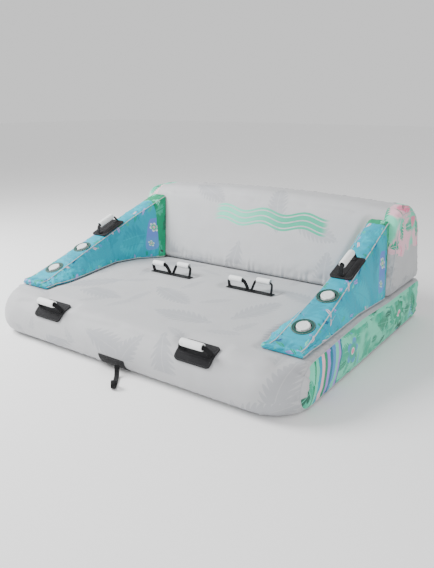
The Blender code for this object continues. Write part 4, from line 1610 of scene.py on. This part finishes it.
def zip_fastener(name, y, z, half, at_x):
    """Woven tape, a coil of teeth, a slider and its pull."""
    face = frame_at((0, y, z), (0, 1, 0), (-1, 0, 0))
    count = 60
    line = [face @ Vector((-half + 2 * half * k / count, 0, 0.0014)) for k in range(count + 1)]
    tape = ribbon(f"zip_{name}_band", line, (0, 1, 0), ZIP_WIDTH, 0.0018, "binding")
    keep(tape, "tube", "zip_tape", f"zip_{name}_tape")
    teeth = []
    faces = []
    pitch = 0.0028
    for k in range(int((2 * half - 0.02) / pitch)):
        u = -half + 0.01 + pitch * k
        low, high = (-0.0032, 0.0006) if k % 2 else (-0.0006, 0.0032)
        start = len(teeth)
        for a in (u, u + 0.0019):
            teeth += [(a, low, 0.0022), (a, high, 0.0022)]
            teeth += [(a, high - 0.0005, 0.0030), (a, low + 0.0005, 0.0030)]
        faces += [tuple(start + v for v in face) for face in tube_faces(2, 4) + tube_ends(2, 4)]
    coil = new_object(f"zip_{name}_teeth", [face @ Vector(t) for t in teeth], faces, MATERIALS["black"])
    coil.data.set_sharp_from_angle(angle=math.radians(30))
    keep(coil, "tube", "zip_tape")
    rows = []
    for k, v in enumerate((-0.0105, 0.0105)):
        sewn = half - 0.004
        path = [face @ Vector((-sewn + 2 * sewn * t / 40, v, 0.0025)) for t in range(41)]
        rows.append(stitches(f"zip_{name}_row_{k}", path, (0, 1, 0)))
    keep(join(f"zip_{name}_thread", rows), "tube", "zip_tape")

    seat = face @ Matrix.Translation((-at_x, 0, 0.003))
    parts = [bar(f"zip_{name}_shell", (0.014, 0.009, 0.0026), "metal", seat @ up(0.0014))]
    parts.append(bar(f"zip_{name}_wing", (0.010, 0.0070, 0.0012), "metal", seat @ up(0.0031)))
    for s in (-1, 1):
        post = seat @ Matrix.Translation((s * 0.0042, -0.0012, 0.0042))
        parts.append(bar(f"zip_{name}_post_{s + 1}", (0.0012, 0.0050, 0.0018), "metal", post))
    keep(join(f"zip_{name}_runner", parts), f"zip_{name}_slider", "zip_metal", f"zip_{name}_slider")
    hook = seat @ Matrix.Translation((0, -0.0055, 0.003))
    edge = [(0.0022, -0.001), (0.0035, -0.008), (0.0035, -0.027), (0.0018, -0.0300)]
    edge += [(-u, v) for u, v in reversed(edge)]
    turns = np.linspace(0, 2 * math.pi, 17)[:-1]
    hole = [(0.0016 * math.cos(t), -0.0245 + 0.0016 * math.sin(t)) for t in turns]
    pull = pierced(f"zip_{name}_tag", edge, hole, 0.0015, "metal", hook)
    keep(pull, f"zip_{name}_pull", "zip_metal", f"zip_{name}_pull")


def pierced(name, rim, hole, thick, material, place):
    """A flat tag with a hole through it."""
    curve = bpy.data.curves.new(name, "CURVE")
    curve.dimensions = "2D"
    curve.fill_mode = "BOTH"
    curve.extrude = thick / 2 - 0.0002
    curve.bevel_depth = 0.0002
    curve.offset = -0.0002
    for points in (rim, hole):
        spline = curve.splines.new("POLY")
        spline.points.add(len(points) - 1)
        for point, (x, y) in zip(spline.points, points):
            point.co = (x, y, 0, 1)
        spline.use_cyclic_u = True
    mesh = mesh_of(curve, name, MATERIALS[material])
    mesh.transform(place)
    return link(name, mesh)


def tow_patch():
    """A doubler on the keel's curve, sewn down all round and across."""
    radius = KEEL_RADIUS + 4 * GAP
    centre = Vector((0, FRONT_Y + KEEL_RADIUS, BASE_Z + KEEL_RADIUS))

    def on_keel(angle, x, lift):
        r = radius + lift
        return centre + Vector((x, -r * math.cos(angle), -r * math.sin(angle)))

    low, high = math.radians(6), math.radians(66)
    turns = [low + (high - low) * k / 30 for k in range(31)]
    path = [on_keel(t, 0, 0) for t in turns]
    ups = [(0, -math.cos(t), -math.sin(t)) for t in turns]
    patch = ribbon("tow_doubler", path, ups, TOW_PATCH, 0.0022, "webbing")
    keep(patch, "tube", "webbing", "tow_patch")
    rows = []
    sewn = TOW_PATCH / 2 - 0.006
    for k, x in enumerate((-sewn, -0.030, 0.030, sewn)):
        line = [on_keel(t, x, 0.0014) for t in turns]
        rows.append(stitches(f"tow_row_{k}", line, ups))
    for k, t in enumerate((low + 0.06, (low + high) / 2, high - 0.06)):
        line = [on_keel(t, -sewn + 2 * sewn * s / 24, 0.0014) for s in range(25)]
        rows.append(stitches(f"tow_bar_{k}", line, (0, -math.cos(t), -math.sin(t))))
    keep(join("tow_doubler_thread", rows), "tube", "webbing")


def tow_loop():
    """A strap that drops to the floor, folds round an eye and is sewn back on itself."""
    rise = 0.0045
    drop = [(0.001, 0.052), (0.012, 0.030), (0.030, 0.010), (0.055, TOW_UNDER)]
    under = drop + [(TOW_LENGTH - 2.4 * TOW_EYE, TOW_UNDER)]
    over = [(u - 0.001 + 0.15 * w, w + rise) for u, w in reversed(under)]
    centre = (TOW_LENGTH - TOW_EYE, TOW_EYE + TOW_UNDER)
    turns = [math.radians(-90 + 255 * k / 10) for k in range(11)]
    eye = [(centre[0] + TOW_EYE * math.cos(t), centre[1] + TOW_EYE * math.sin(t)) for t in turns]
    x, y, _ = TOW_ROOT
    place = Matrix.Translation((x, y, 0)) @ Matrix.Rotation(TOW_HEADING, 4, "Z")
    path = smooth_path([(u, 0, w) for u, w in under + eye + over], 5)
    ups = [place.to_3x3() @ Vector(u) for u in faces_up(path)]
    path = [place @ Vector(p) for p in path]
    loop = ribbon("tow_strap", path, ups, WEB_WIDTH, 0.0021, "webbing")
    keep(loop, "tow_loop", "webbing", "tow_loop")


def valve_places():
    """Each valve's name, its chamber and its frame on the cover."""
    made = [("valve_base", "base", frame_at(BASE_VALVE, (0, 1, 0), (0, 0, 1)))]
    made.append(("valve_backrest", "backrest", frame_at(BACK_VALVE, (0, 1, 0), (0, 0, 1))))
    for label, side in (("left", -1), ("right", 1)):
        for spot, x, y in ARM_VALVES:
            made.append((f"valve_arm_{spot}_{label}", f"arm_{label}", arm_top(side * x, y)))
    return made


def fittings():
    for name, _, place in valve_places():
        valve(name, place)
    for label, side in (("left", -1), ("right", 1)):
        pad_handle(f"front_handle_{label}", LipBed(side * FRONT_HANDLE_X))
        pad_handle(f"arm_handle_{label}", FlatBed(arm_top(side * ARM_HANDLE_X, ARM_HANDLE_Y) @ up(GAP)))
        twin_handle(f"deck_handle_{label}", side * DECK_HANDLE_X)
        drain(f"drain_vent_{label}", side * DRAIN_X)
    for row in ZIPS:
        zip_fastener(*row)
    tow_patch()
    tow_loop()


def hidden_nodes():
    """The pieces inside keep their CAD shape and get their own finish."""
    for name, node in NODES.items():
        kind = "bladder" if "bladder" in name else "coating" if name == "bottom_panel" else "webbing"
        if node.hide_render:
            continue
        node.data.materials.clear()
        node.data.materials.append(MATERIALS[kind])


def covers():
    """Every chamber's skin, with its piping and the holes for its valves."""
    made = build_chambers()
    flat = {label: obj.copy() for label, (obj, _) in made.items()}
    for label, copy in flat.items():
        copy.data = made[label][0].data.copy()
    for label, (obj, seams) in made.items():
        finish_chamber(label, obj, seams, [other for key, other in flat.items() if key != label])
    for copy in flat.values():
        bpy.data.objects.remove(copy)
    for label, (obj, seams) in made.items():
        welts(label, obj, seams[:4] if label.startswith("arm") else seams[:2])
    for _, chamber, place in valve_places():
        cut_hole(made[chamber][0], place, VALVE_RING_BORE + 0.0015)


fittings()
covers()
hidden_nodes()


# ---- Camera, light and floor


def camera():
    data = bpy.data.cameras.new("camera")
    data.lens = 37.3
    data.sensor_width = 36.0
    data.shift_y = -0.011
    obj = link("camera", data)
    obj.location = (2.012, -2.779, 1.313)
    target = Vector((0.038, 0.0, 0.289))
    obj.rotation_euler = (target - obj.location).to_track_quat("-Z", "Y").to_euler()
    bpy.context.scene.camera = obj


def soft_light(name, place, aim, size, power):
    data = bpy.data.lights.new(name, "AREA")
    data.shape = "DISK"
    data.size = size
    data.energy = power
    obj = link(name, data)
    obj.location = place
    obj.rotation_euler = (Vector(aim) - Vector(place)).to_track_quat("-Z", "Y").to_euler()


def studio():
    p = Paint("floor", roughness=0.7)
    pale = p.mix(p.noise(p.place(), 1.5, 3.0), (0.93, 0.93, 0.93), (0.96, 0.96, 0.96))
    corners = [(x * 30, y * 30, 0) for x, y in ((-1, -1), (1, -1), (1, 1), (-1, 1))]
    new_object("floor", corners, [(0, 1, 2, 3)], p.finish(pale))
    world = bpy.data.worlds.new("studio")
    bpy.context.scene.world = world
    world.use_nodes = True
    sky = world.node_tree.nodes["Background"]
    sky.inputs["Color"].default_value = (1.0, 1.0, 1.0, 1.0)
    sky.inputs["Strength"].default_value = 0.9
    soft_light("key", (-3.4, -1.8, 3.4), (-0.2, 0, 0.2), 2.6, 420)
    soft_light("fill", (3.5, -3.4, 2.0), (0, 0, 0.2), 3.0, 60)


camera()
studio()
